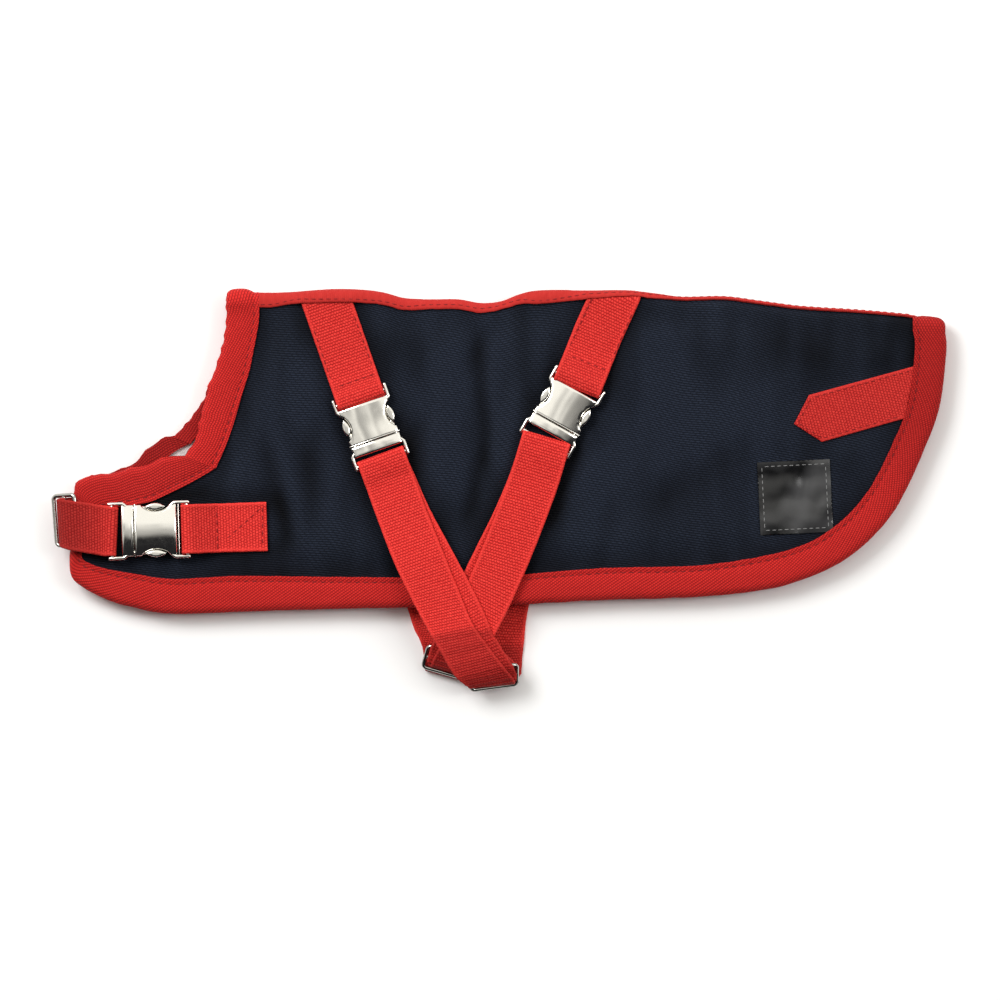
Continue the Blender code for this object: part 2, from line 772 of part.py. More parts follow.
def adjuster(name, buckle, ahead, stations, fitting, skews, far_stations, shift, look):
    """A strap's adjuster web: slider, buckle, slider, then along the far side."""
    across = ahead.cross(UP)
    bar = buckle + ahead * BAR_OFFSET
    up = fitting.along.cross(fitting.across)
    along = fitting.along
    if up.z < 0:
        up = -up
    if along.dot(across) < 0:
        along = -along
    loop = WIRE / 2 + GAP + WEB / 2
    middle_bar = fitting.bar + fitting.across * SLIDER_PITCH
    inner_bar = middle_bar + fitting.across * SLIDER_PITCH
    back_skew, front_skew = skews

    path = [Step(p, along, SQUEEZED_WEB) for p in arc(middle_bar, 50, 220, loop, fitting.across, up, 8)]
    front = [Vector(row) for row in stations]
    back = [p - UP * LAYER_STEP - across * shift for p in front]
    under = inner_bar - up * loop + along * back_skew
    route = curve_points([under, *back[::-1], bar + ahead * 7 - UP * LOOP], WEB_STEP)
    path += turned(route, across, along, under)
    path += [Step(p, across, WEB_WIDTH) for p in arc(bar, -90, -180, LOOP, ahead, UP)]
    over = inner_bar + up * (loop + 0.9) + along * front_skew
    route = curve_points([bar + ahead * 6 + UP * (LOOP - 0.4), *front, over], WEB_STEP)
    path += turned(route, across, along, over)
    wide = loop + WEB + GAP
    for k, p in enumerate(arc(middle_bar, 80, 100, wide, fitting.across, up, 5)):
        path.append(Step(p + along * front_skew * 0.6 * (1 - k / 5), along, SQUEEZED_WEB))
    far = [Vector(row) for row in far_stations]
    if fitting.bar.z - loop - WEB > 4:
        slot = path[-1].centre
        path += [Step(slot - up * down, along, SQUEEZED_WEB) for down in (2.0, 4.5)]
    else:
        drop = math.degrees(math.asin(fitting.across.z))
        under_bar = arc(fitting.bar, -25, -65 - drop, loop, fitting.across, up, 3)
        path += [Step(p, along, SQUEEZED_WEB) for p in under_bar]
        turn = (path[-1].centre.z - FAR_WEB) / 2
        outward = -Vector((fitting.across.x, fitting.across.y, 0)).normalized()
        low = path[-1].centre - UP * turn
        path += [Step(p, along, SQUEEZED_WEB) for p in arc(low, 60, -150, turn, outward, UP, 5)]
    route = curve_points([path[-1].centre, *far], WEB_STEP * 1.4)[1:]
    for step in turned(route, along, along, path[-1].centre):
        level = Vector(step.across)
        level.z *= min(max((step.centre.z - FAR_WEB) / 8, 0), 1)
        path.append(Step(step.centre, level, step.width))
    return web(name, web_rings(path), look)


def turned(route, way, along, fitting):
    """A route's steps, square to it in plan, and along the bars and squeezed at the slider."""
    found = []
    for i, point in enumerate(route):
        ahead = route[min(i + 1, len(route) - 1)] - route[max(i - 1, 0)]
        square = Vector((ahead.x, ahead.y, 0)).normalized().cross(UP)
        if square.dot(way) < 0:
            square = -square
        share = smooth(1.25 - (point - fitting).length / 24)
        across = square * (1 - share) + along * share
        found.append(Step(point, across, WEB_WIDTH + (SQUEEZED_WEB - WEB_WIDTH) * share))
    return found


def box(size, centre):
    """A box as an object."""
    bpy.ops.mesh.primitive_cube_add(size=1, location=centre)
    made = bpy.context.object
    made.scale = size
    bpy.ops.object.transform_apply(location=True, rotation=False, scale=True)
    return made


def rod(radius, length, centre, sides=10):
    """A round bar across the strap."""
    bpy.ops.mesh.primitive_cylinder_add(
        vertices=sides, radius=radius, depth=length, location=centre, rotation=(math.pi / 2, 0, 0)
    )
    made = bpy.context.object
    bpy.ops.object.transform_apply(location=True, rotation=True, scale=False)
    return made


def slab(outline, height, chamfer):
    """A flat outline, thickened, with chamfered rims."""
    curve = bpy.data.curves.new("slab", "CURVE")
    curve.dimensions = "2D"
    curve.fill_mode = "BOTH"
    spline = curve.splines.new("POLY")
    spline.points.add(len(outline) - 1)
    for point, (x, y) in zip(spline.points, outline):
        point.co = (x, y, 0, 1)
    spline.use_cyclic_u = True
    curve.extrude = height / 2 - chamfer
    curve.bevel_depth = chamfer
    curve.bevel_resolution = 0
    curve.offset = -chamfer
    holder = bpy.data.objects.new("slab", curve)
    bpy.context.scene.collection.objects.link(holder)
    return curve_to_mesh(holder)


def curve_to_mesh(holder):
    """Make a curve object a closed mesh object."""
    bpy.context.view_layer.update()
    seen = holder.evaluated_get(bpy.context.evaluated_depsgraph_get())
    data = bpy.data.meshes.new_from_object(seen)
    mesh = bmesh.new()
    mesh.from_mesh(data)
    bmesh.ops.remove_doubles(mesh, verts=mesh.verts, dist=0.001)
    bmesh.ops.recalc_face_normals(mesh, faces=mesh.faces)
    mesh.to_mesh(data)
    mesh.free()
    made = bpy.data.objects.new(holder.name, data)
    made.matrix_world = holder.matrix_world
    bpy.context.scene.collection.objects.link(made)
    bpy.data.objects.remove(holder)
    return made


def combine(base, others, operation):
    """Join or cut solids, and keep the base."""
    for other in others:
        modifier = base.modifiers.new("combine", "BOOLEAN")
        modifier.operation = operation
        modifier.object = other
        bpy.context.view_layer.update()
        seen = base.evaluated_get(bpy.context.evaluated_depsgraph_get())
        data = bpy.data.meshes.new_from_object(seen)
        base.modifiers.clear()
        base.data = data
        bpy.data.objects.remove(other)
    return base


def shape_of(base):
    """A solid's mesh, without its object."""
    data = base.data
    bpy.data.objects.remove(base)
    return data


def ears(side):
    """The two ears and the bar that hold the webbing, on one end of a buckle."""
    start = -BODY_BACK - 1.0 if side < 0 else PLATE_END - 1.0
    length = EAR_END - start
    parts = []
    for hand in (-1, 1):
        centre = (side * (start + length / 2), hand * (EAR_SPAN - EAR) / 2, 0)
        parts.append(box((length, EAR, 3.0), centre))
    parts.append(rod(BAR / 2, EAR_SPAN - EAR, (side * BAR_OFFSET, 0, 0)))
    return parts


def scoop_outline():
    """The female body's outline, with a scoop in each side."""
    half = BODY_WIDTH / 2
    middle = (BODY_BACK + SEAM) / 2
    corners = []
    for hand in (1, -1):
        end, begin = (BODY_BACK, SEAM) if hand > 0 else (SEAM, BODY_BACK)
        corners.append((end, hand * half))
        for k in range(9):
            angle = math.pi * (1 - k / 8)
            x = middle + hand * WINDOW_LENGTH / 2 * math.cos(angle)
            y = hand * (half - WINDOW_DEPTH * math.sin(angle))
            corners.append((x, y))
        corners.append((begin, hand * half))
    return corners


def lobe_outline(hand):
    """A prong's end as it shows in the scoop."""
    middle = (BODY_BACK + SEAM) / 2
    points = []
    for k in range(12):
        angle = 2 * math.pi * k / 12
        x = middle + 4.9 * math.cos(angle)
        y = hand * (11.5 + 1.8 * math.sin(angle) * hand * hand)
        points.append((x, y))
    return points if hand > 0 else points[::-1]


def female_shape():
    """Socket half of a side-release buckle."""
    base = slab(scoop_outline(), BODY_HEIGHT, 0.9)
    combine(base, ears(-1), "UNION")
    channels = [box((10.0, 3.4, 2.6), (SEAM - 4.5, hand * 11.0, 0)) for hand in (-1, 1)]
    combine(base, channels, "DIFFERENCE")
    return shape_of(base)


def male_shape():
    """Plug half, with its plate, two prongs and bar."""
    half = BODY_WIDTH / 2
    start = SEAM + GAP
    plate = ((start, -half), (PLATE_END, -half), (PLATE_END, half), (start, half))
    base = slab(plate, BODY_HEIGHT - 0.4, 0.9)
    parts = ears(1)
    for hand in (-1, 1):
        parts.append(box((11.0, 2.2, 1.9), (SEAM + 1.0 - 5.0, hand * 11.1, 0)))
        parts.append(slab(lobe_outline(hand), 3.6, 0.5))
    combine(base, parts, "UNION")
    return shape_of(base)


def place_shape(name, data, centre, ahead, look):
    """A buckle half on its strap."""
    mesh = bmesh.new()
    mesh.from_mesh(data)
    across = UP.cross(ahead)
    bmesh.ops.dissolve_degenerate(mesh, dist=0.01, edges=mesh.edges)
    bmesh.ops.triangulate(mesh, faces=mesh.faces)
    for v in mesh.verts:
        v.co = centre + ahead * v.co.x + across * v.co.y + UP * v.co.z
    return finish(mesh, name, look)


def slider_frame(fitting, look):
    """A wire frame with a middle bar."""
    half = (SLIDER_LENGTH - WIRE) / 2
    depth = 2 * SLIDER_PITCH
    curve = bpy.data.curves.new("frame", "CURVE")
    curve.dimensions = "3D"
    curve.bevel_depth = WIRE / 2
    curve.bevel_resolution = 2
    points = []
    for x, y, start in ((half, depth, 0), (-half, depth, 90), (-half, 0, 180), (half, 0, 270)):
        cx = x - math.copysign(SLIDER_CORNER, x)
        cy = depth - SLIDER_CORNER if y else SLIDER_CORNER
        for k in range(3):
            angle = math.radians(start + 45 * k)
            turn_x, turn_y = SLIDER_CORNER * math.cos(angle), SLIDER_CORNER * math.sin(angle)
            points.append((cx + turn_x, cy + turn_y, 0))
    spline = curve.splines.new("POLY")
    spline.points.add(len(points) - 1)
    for point, place in zip(spline.points, points):
        point.co = (*place, 1)
    spline.use_cyclic_u = True
    holder = bpy.data.objects.new("frame", curve)
    bpy.context.scene.collection.objects.link(holder)
    base = curve_to_mesh(holder)
    bpy.ops.mesh.primitive_cylinder_add(
        vertices=8, radius=WIRE / 2, depth=2 * half, location=(0, SLIDER_PITCH, 0), rotation=(0, math.pi / 2, 0)
    )
    middle = bpy.context.object
    bpy.ops.object.transform_apply(location=True, rotation=True, scale=False)
    combine(base, [middle], "UNION")
    up = fitting.along.cross(fitting.across)
    mesh = bmesh.new()
    mesh.from_mesh(shape_of(base))
    for v in mesh.verts:
        v.co = fitting.bar + fitting.along * v.co.x + fitting.across * v.co.y + up * v.co.z
    bmesh.ops.triangulate(mesh, faces=mesh.faces)
    return finish(mesh, "slider_" + fitting.place, look)


def label_outline():
    """The label's corners, in x and past."""
    turn = math.radians(LABEL_TURN)
    half = LABEL_SIZE / 2
    corners = []
    for a, b in ((-half, -half), (half, -half), (half, half), (-half, half)):
        x = LABEL_CENTRE[0] + a * math.cos(turn) - b * math.sin(turn)
        y = LABEL_CENTRE[1] + a * math.sin(turn) + b * math.cos(turn)
        corners.append((x, flat(x, y)))
    return corners


def tab_outline():
    """The pointed tab, in x and past."""
    corners = (TAB_TIP, TAB_LOWER, TAB_END_LOWER, TAB_END_UPPER, TAB_UPPER)
    return [(x, flat(x, y)) for x, y in corners]


def over_shell(rise):
    """A height above the shell's outer face."""
    return lambda x, y, side: shell_outer(x, y, side) + rise


def build():
    """Make every piece of the coat."""
    for old in list(bpy.data.objects):
        bpy.data.objects.remove(old, do_unlink=True)
    navy = material("shell_cloth", (0.014, 0.019, 0.032), 0.62)
    pale = material("lining_fleece", (0.62, 0.57, 0.57), 0.9)
    tape = material("binding_tape", (0.56, 0.022, 0.028), 0.7)
    webbing = material("webbing", (0.6, 0.022, 0.025), 0.6)
    chrome = material("bright_metal", (0.84, 0.83, 0.8), 0.16, 1.0)
    gloss = material("label_gloss", (0.03, 0.03, 0.033), 0.25)

    for side, where in ((1, "near"), (-1, "far")):
        outline = panel_outline(side)
        sheet("shell_" + where, outline, side, shell_inner, shell_outer, navy, COLUMN, SHELL_ROWS)
        sheet("lining_" + where, outline, side, lining_inner, lining_outer, pale, COLUMN, FLAT_ROWS)
        binding("hem_binding_" + where, "hem", side, tape)
        binding("neck_binding_" + where, "neck", side, tape)
    sheet("tail_tab", tab_outline(), 1, over_shell(GAP), over_shell(GAP + WEB), webbing, 60.0)
    sheet("label_patch", label_outline(), 1, over_shell(GAP), over_shell(GAP + LABEL), gloss, 60.0)
    spine_tape(tape)

    way_a, way_b = plan(ANCHOR_A, BUCKLE_A), plan(ANCHOR_B, BUCKLE_B)
    way_chest = plan(CHEST_ANCHOR_END, CHEST_BUCKLE)
    place_a = Vector((*BUCKLE_A, BELLY_BUCKLE_Z))
    place_b = Vector((*BUCKLE_B, BELLY_BUCKLE_Z))
    place_chest = Vector((*CHEST_BUCKLE, CHEST_BUCKLE_Z))
    belly_anchor("strap_anchor_a", ANCHOR_A, BUCKLE_A, webbing)
    belly_anchor("strap_anchor_b", ANCHOR_B, BUCKLE_B, webbing)
    chest_rings = anchor_rings(CHEST_ANCHOR_END, CHEST_BUCKLE, SEWN_WEB, CHEST_BUCKLE_Z)
    web("strap_anchor_chest", chest_rings, webbing)
    adjuster(
        "strap_adjuster_a", place_a, way_a, ROUTE_A, SLIDER_A, SKEW_A, FAR_ROUTE_A, 2.7, webbing
    )
    adjuster(
        "strap_adjuster_b", place_b, way_b, ROUTE_B, SLIDER_B, SKEW_B, FAR_ROUTE_B, -2.0, webbing
    )
    adjuster(
        "strap_adjuster_chest", place_chest, way_chest, ROUTE_CHEST, SLIDER_CHEST, (0.0, 0.0),
        FAR_ROUTE_CHEST, 0.0, webbing
    )

    female, male = female_shape(), male_shape()
    buckles = (("a", place_a, way_a), ("b", place_b, way_b), ("chest", place_chest, way_chest))
    for where, place, ahead in buckles:
        place_shape("buckle_socket_" + where, female, place, ahead, chrome)
        place_shape("buckle_plug_" + where, male, place, ahead, chrome)
    for fitting in (SLIDER_A, SLIDER_B, SLIDER_CHEST):
        slider_frame(fitting, chrome)


build()
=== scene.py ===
"""The dog coat, dressed in cloth, webbing and metal on its solids, as the photograph shows it."""
import math
from typing import NamedTuple

import bmesh
import bpy
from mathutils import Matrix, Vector, noise
from mathutils.geometry import delaunay_2d_cdt


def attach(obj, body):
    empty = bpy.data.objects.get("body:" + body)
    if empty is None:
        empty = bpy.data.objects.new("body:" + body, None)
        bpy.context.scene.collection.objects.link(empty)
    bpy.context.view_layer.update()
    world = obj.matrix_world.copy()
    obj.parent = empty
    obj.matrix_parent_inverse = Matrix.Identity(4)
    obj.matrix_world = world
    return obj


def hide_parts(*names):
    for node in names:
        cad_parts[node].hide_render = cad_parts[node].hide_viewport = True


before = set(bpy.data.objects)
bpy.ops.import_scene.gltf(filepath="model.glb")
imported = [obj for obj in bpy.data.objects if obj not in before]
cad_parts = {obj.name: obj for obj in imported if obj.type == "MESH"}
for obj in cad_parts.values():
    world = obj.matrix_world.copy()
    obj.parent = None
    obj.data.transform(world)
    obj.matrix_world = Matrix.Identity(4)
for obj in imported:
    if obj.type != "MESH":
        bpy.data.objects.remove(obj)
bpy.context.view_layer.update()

MM = 0.001
UP = Vector((0, 0, 1))

# The same layers as the solids, in millimetres from the middle of the fold, which lies at MIDDLE
GAP = 0.3
LEG_IN = 0.4
LINING_IN = 1.7
SHELL_OUT = 4.0
TAPE_IN = 4.3
TAPE_OUT = 5.3
MIDDLE = 7.2
SHELL_TOP = MIDDLE + SHELL_OUT
FOLD_RADIUS = 3.6
QUARTER = FOLD_RADIUS * math.pi / 2
SPINE_SEAM = QUARTER - 0.6

# Panels and tapes, seen flat
PANEL_INSET = 2.4
PANEL_END = -165
PUFF_START = 17.5
TAPE_WIDTH = 32.0
TAPE_ROLL = 3.4
INNER_LEG_SHARE = 0.7
SEAM_LINE = 2.6
STITCH_PITCH = 4.3
SHARP_ANGLE = 50

# Webs, and the heights of their middles
WEB_WIDTH = 24.6
SQUEEZED_WEB = 22.4
SELVEDGE = 10.0
WEB = 1.6
WEB_STEP = 2.6
FRONT_STEPS = 56
CHEST_WEBS = -160
SEWN_WEB = SHELL_TOP + GAP + WEB / 2
FIRST_WEB = MIDDLE + TAPE_OUT + GAP + WEB / 2
SECOND_WEB = FIRST_WEB + WEB + GAP
FAR_WEB = WEB / 2
LAYER_STEP = WEB + GAP + 0.25

# Buckles, measured from their middles
BODY_WIDTH = 25.8
BODY_HEIGHT = 5.8
BODY_BACK = -12.4
SEAM = 6.4
PLATE_END = 12.2
SOCKET_CROWN = 1.7
WINDOW_LENGTH = 12.6
WINDOW_DEPTH = 3.3
EAR_SPAN = 28.7
EAR = 1.7
EAR_END = 18.6
BAR = 2.0
LOOP = BAR / 2 + GAP + WEB / 2
BELLY_BUCKLE_Z = SEWN_WEB - WEB / 2 + BODY_HEIGHT / 2
CHEST_BUCKLE_Z = FIRST_WEB - WEB / 2 + BODY_HEIGHT / 2

# Sliders
WIRE = 2.2
SLIDER_LENGTH = 27.0
SLIDER_CORNER = 1.9
SLIDER_PITCH = 5.9
LOW_SLIDER = 4.0


class BoundEdge(NamedTuple):
    """A section of bound edge: its outer fold, and the inner line where the tape ends."""

    place: str
    outer_x: float
    outer_y: float
    inner_x: float
    inner_y: float


class Crest(NamedTuple):
    """The spine as seen from above: its height, and how far down the spine tape shows."""

    x: float
    y: float
    tape: float


class Fold(NamedTuple):
    """A soft ridge (or, below zero, a trough) in the shell, with its slant in degrees."""

    place: str
    x: float
    y: float
    slant: float
    length: float
    width: float
    height: float


class Station(NamedTuple):
    """A point on a strap's route."""

    x: float
    y: float
    z: float


HEM = (
    BoundEdge("notch", -157.5, 17.0, -141.5, 11.0),
    BoundEdge("chest bump", -164.5, 17.2, -153.5, 4.0),
    BoundEdge("chest top", -173.5, 14.2, -166.5, -2.4),
    BoundEdge("chest dip", -180.0, 11.5, -175.0, -6.0),
    BoundEdge("chest front", -188.5, 10.0, -183.0, -7.5),
    BoundEdge("tip shoulder", -197.1, 8.2, -190.5, -8.5),
    BoundEdge("tip top", -206.0, 6.8, -197.5, -9.5),
    BoundEdge("tip upper corner", -211.8, 3.2, -202.5, -11.0),
    BoundEdge("tip upper", -213.2, -6.0, -204.0, -14.0),
    BoundEdge("tip", -212.5, -19.0, -204.0, -20.0),
    BoundEdge("tip lower", -215.0, -33.0, -207.5, -28.5),
    BoundEdge("tip lower corner", -213.8, -43.5, -208.5, -34.0),
    BoundEdge("chest heel", -207.5, -49.2, -203.0, -37.5),
    BoundEdge("chest under", -196.0, -55.0, -192.5, -40.2),
    BoundEdge("belly front", -182.5, -59.0, -180.5, -42.2),
    BoundEdge("belly", -163.5, -62.0, -162.5, -44.5),
    BoundEdge("hem front", -129.5, -61.0, -129.5, -43.0),
    BoundEdge("hem straight", -79.5, -59.5, -79.5, -43.5),
    BoundEdge("hem middle", -9.5, -58.2, -9.5, -43.5),
    BoundEdge("hem rising", 50.5, -55.2, 50.0, -39.2),
    BoundEdge("hem rear", 100.5, -53.5, 99.0, -37.8),
    BoundEdge("flank", 135.5, -49.5, 132.5, -33.0),
    BoundEdge("flank turn", 157.0, -43.0, 152.0, -27.5),
    BoundEdge("flank rise", 173.0, -35.0, 164.0, -21.0),
    BoundEdge("tail lower", 187.5, -23.0, 175.5, -11.5),
    BoundEdge("tail curve", 200.0, -7.0, 186.5, 2.5),
    BoundEdge("tail rise", 211.5, 17.0, 197.0, 23.5),
    BoundEdge("tail upper", 220.5, 41.5, 204.8, 44.0),
    BoundEdge("tail", 224.0, 70.0, 208.0, 70.5),
    BoundEdge("tail top", 223.5, 78.5, 207.0, 79.5),
)

NECK = (
    BoundEdge("notch", -157.5, 17.0, -141.5, 11.0),
    BoundEdge("neck foot", -152.5, 24.5, -137.5, 20.0),
    BoundEdge("neck bend", -150.0, 33.0, -134.0, 29.5),
    BoundEdge("neck lower", -148.2, 41.0, -131.0, 39.0),
    BoundEdge("neck low", -146.0, 50.0, -128.0, 49.5),
    BoundEdge("neck middle", -142.5, 60.0, -125.0, 59.0),
    BoundEdge("neck high", -139.5, 69.0, -123.0, 68.5),
    BoundEdge("neck upper", -137.5, 77.5, -121.2, 78.0),
    BoundEdge("neck hollow", -136.6, 86.0, -120.0, 86.0),
)

CREST = (
    Crest(-137.5, 98.9, 7.5),
    Crest(-128.5, 99.2, 7.5),
    Crest(-115.0, 98.8, 7.5),
    Crest(-103.5, 99.0, 6.0),
    Crest(-91.5, 100.0, 6.4),
    Crest(-80.5, 100.6, 6.7),
    Crest(-66.0, 100.0, 6.5),
    Crest(-57.0, 98.6, 6.2),
    Crest(-47.5, 96.0, 6.0),
    Crest(-35.0, 95.4, 5.0),
    Crest(-20.0, 95.4, 5.0),
    Crest(-9.5, 93.6, 5.0),
    Crest(0.5, 94.2, 4.0),
    Crest(10.5, 98.0, 5.0),
    Crest(20.5, 99.9, 6.8),
    Crest(45.5, 99.8, 4.3),
    Crest(65.5, 99.8, 3.2),
    Crest(80.5, 98.0, 2.0),
    Crest(92.0, 96.6, 1.2),
    Crest(113.0, 96.8, 1.0),
    Crest(130.5, 94.6, 1.0),
    Crest(150.5, 92.0, 0.8),
    Crest(180.5, 90.0, 0.6),
    Crest(203.0, 88.0, 0.5),
    Crest(224.5, 85.5, 0.5),
)

FOLDS = (
    Fold("between the straps, ridge", -26.0, 38.0, 90.0, 100.0, 8.0, 0.9),
    Fold("between the straps, crease", -8.0, 40.0, 94.0, 96.0, 3.6, -0.65),
    Fold("between the straps, thin ridge", -1.5, 44.0, 92.0, 80.0, 2.8, 0.6),
    Fold("between the straps, lower crease", -12.5, 2.0, 80.0, 52.0, 4.0, -0.6),
    Fold("between the straps, rear ridge", 6.5, 32.0, 80.0, 62.0, 5.0, 0.6),
    Fold("under the spine", -11.0, 70.0, 58.0, 34.0, 4.0, -0.4),
    Fold("beside buckle A", -46.0, 14.0, 76.0, 60.0, 5.0, -0.7),
    Fold("behind the neck", -98.0, 55.0, 90.0, 60.0, 14.0, 0.45),
    Fold("behind the neck, slanting ridge", -104.0, 0.0, 102.0, 78.0, 3.6, 0.6),
    Fold("behind the neck, front crease", -112.0, 0.0, 104.0, 66.0, 4.0, -0.45),
    Fold("behind the neck, rear crease", -96.0, 3.0, 98.0, 66.0, 5.0, -0.5),
    Fold("behind strap B, ridge", 45.0, -6.0, 74.0, 62.0, 8.0, 0.6),
    Fold("behind strap B, crease", 33.0, 4.0, 72.0, 58.0, 5.0, -0.7),
    Fold("flank", 82.0, 56.0, 90.0, 70.0, 15.0, 0.5),
    Fold("rear flank", 105.0, 30.0, 25.0, 110.0, 16.0, 0.5),
    Fold("rear flank, trough", 95.0, 5.0, 32.0, 90.0, 9.0, -0.4),
)

FAR_SHIFT = (-6.0, 10.0)
FAR_SHIFT_FROM = (-157.5, 17.0)
FAR_SHIFT_REACH = 22.5
FAR_INSET = 0.03

ANCHOR_A = (-86.1, 94.0)
BUCKLE_A = (-64.2, 31.4)
ANCHOR_B = (56.4, 93.5)
BUCKLE_B = (31.7, 39.0)
ROUTE_A = (
    Station(-54.4, 4.0, SECOND_WEB - 0.2),
    Station(-47.5, -15.0, SECOND_WEB + 1.3),
    Station(-39.5, -35.0, SECOND_WEB + 3.6),
    Station(-31.0, -55.0, SECOND_WEB + 4.4),
    Station(-23.2, -70.5, SECOND_WEB + 4.6),
    Station(-16.5, -80.0, SECOND_WEB + 4.2),
)
ROUTE_B = (
    Station(17.3, 4.0, SECOND_WEB - 0.2),
    Station(10.3, -15.0, SECOND_WEB + 0.3),
    Station(2.3, -35.0, SECOND_WEB + 0.3),
    Station(-6.0, -55.0, SECOND_WEB + 0.3),
    Station(-9.3, -61.5, SECOND_WEB + 0.3),
    Station(-14.6, -71.0, SECOND_WEB - 1.6),
)
FAR_ROUTE_A = (
    Station(0.2, -93.4, 3.0),
    Station(0.3, -89.0, FAR_WEB),
    Station(0.5, -80.0, FAR_WEB),
    Station(2.5, -57.5, FAR_WEB),
    Station(13.0, -20.0, FAR_WEB),
    Station(32.0, 30.0, FAR_WEB),
    Station(54.7, 90.0, FAR_WEB),
)
FAR_ROUTE_B = (
    Station(-28.6, -75.0, FAR_WEB),
    Station(-33.6, -57.5, FAR_WEB),
    Station(-44.5, -20.0, FAR_WEB),
    Station(-60.0, 30.0, FAR_WEB),
    Station(-82.3, 90.0, FAR_WEB),
)
CHEST_ANCHOR_END = (-116.0, -18.3)
CHEST_BUCKLE = (-174.8, -20.1)
CHEST_SLIDER = (-223.0, -15.5)
CHEST_FAR_END = (-117.0, -19.0)
ROUTE_CHEST = (
    Station(-199.5, -20.4, SECOND_WEB + 0.4),
    Station(-205.5, -19.4, SECOND_WEB + 0.8),
)
FAR_ROUTE_CHEST = (
    Station(-217.6, -16.2, 4.0),
    Station(-213.0, -16.6, FAR_WEB),
    Station(-203.0, -17.2, FAR_WEB),
    Station(-160.0, -19.0, FAR_WEB),
    Station(*CHEST_FAR_END, FAR_WEB),
)


class Front(NamedTuple):
    """The front web near its slider: where its left and right edges lie in plan, and its height."""

    left_x: float
    left_y: float
    right_x: float
    right_y: float
    z: float


FRONT_A = (
    Front(-40.5, -60.5, -18.2, -55.0, 19.9),
    Front(-34.5, -71.5, -13.0, -67.0, 20.7),
    Front(-28.5, -82.0, -6.2, -76.8, 21.2),
    Front(-22.7, -92.0, 0.8, -86.0, 20.2),
    Front(-18.5, -96.2, 4.8, -91.2, 17.8),
    Front(-15.4, -98.4, 7.6, -94.9, 14.4),
    Front(-14.4, -98.6, 8.1, -96.1, 10.8),
    Front(-14.0, -98.4, 8.2, -95.8, 7.0),
)
FRONT_B = (
    Front(-17.3, -49.7, 4.2, -60.4, 15.7),
    Front(-24.2, -63.7, -2.8, -74.3, 15.2),
    Front(-28.0, -74.3, -6.5, -83.0, 13.7),
    Front(-30.8, -80.5, -9.5, -88.5, 12.0),
    Front(-32.8, -84.6, -11.0, -91.5, 10.1),
    Front(-34.2, -87.6, -12.0, -94.0, 7.2),
    Front(-34.4, -87.6, -12.4, -93.8, 5.0),
)
FRONT_CHEST = (
    Front(-198.2, -32.9, -198.2, -7.6, 16.4),
    Front(-203.0, -32.0, -203.3, -6.8, 17.4),
    Front(-208.5, -31.1, -209.2, -5.9, 18.2),
    Front(-213.4, -30.3, -214.6, -5.2, 17.8),
    Front(-216.9, -29.4, -218.4, -4.6, 16.0),
    Front(-218.8, -28.6, -220.3, -4.4, 13.4),
    Front(-219.2, -28.0, -220.7, -4.5, 10.6),
    Front(-218.6, -27.8, -220.0, -4.6, 7.6),
)
SHIFT_A = (0.4, 1.8, 4.2, 6.2, 6.0, 4.6)
SHIFT_B = (-0.3, -1.2, -2.9, -4.2, -4.0, -3.0)


class Tail(NamedTuple):
    """The sewn end of an adjuster web, from its cut to the slider's middle bar."""

    x: float
    y: float
    z: float
    turn: float


TAIL_A = (
    Tail(-11.4, -79.0, 19.0, 25.0),
    Tail(-8.9, -83.2, 18.5, 20.0),
    Tail(-5.9, -87.0, 17.6, 11.0),
    Tail(-4.0, -89.2, 16.9, 6.5),
    Tail(-3.2, -91.4, 15.5, 6.5),
)
TAIL_B = (
    Tail(-18.8, -73.8, 12.6, -25.0),
    Tail(-21.2, -77.8, 11.9, -20.0),
    Tail(-23.3, -81.4, 10.7, -15.8),
    Tail(-24.2, -84.4, 9.3, -15.8),
)
TAB_TIP = (147.5, 33.0)
TAB_UPPER = (155.0, 47.5)
TAB_LOWER = (161.5, 24.0)
TAB_END_UPPER = (208.3, 62.1)
TAB_END_LOWER = (203.3, 35.9)
LABEL_CENTRE = (148.1, -3.6)
LABEL_SIZE = 36.5
LABEL_TURN = 2.8


class Slider(NamedTuple):
    """A three-bar slider: the middle of its outermost bar, along the bars, and across them."""

    place: str
    bar: Vector
    along: Vector
    across: Vector


def slider(place, bar, along, across):
    """A slider whose across is made square to its bars."""
    along = Vector(along).normalized()
    across = Vector(across)
    across = (across - along * across.dot(along)).normalized()
    return Slider(place, Vector(bar), along, across)


SLIDER_A = slider("a", (-2.5, -98.7, 9.8), (0.95, 0.12, -0.2), (0.22, 0.84, 0.46))
SLIDER_B = slider("b", (-26.2, -92.0, 4.75), (0.955, -0.27, 0.03), (-0.06, 0.9, 0.27))
SLIDER_CHEST = slider("chest", (-222.0, -15.5, 11.5), (-0.075, 1.0, 0.0), (0.89, 0.07, 0.4))


def clamp(t):
    """A number held between 0 and 1."""
    return min(max(t, 0.0), 1.0)


def smooth(t):
    """Ease from 0 to 1."""
    t = clamp(t)
    return t * t * (3 - 2 * t)


def fade(value, start, over):
    """1 up to the start, then easing down to 0."""
    return 1 - smooth((value - start) / over)


def bell(value, width):
    """A bell curve: 1 in the middle, close to 0 at twice its width."""
    return math.exp(-((value / width) ** 2))


def uneven(x, y, z):
    """Smooth noise between about -1 and 1."""
    return noise.noise(Vector((x, y, z)))


def facing(way, other):
    """A direction, turned round where it points away from another."""
    return -way if way.dot(other) < 0 else way


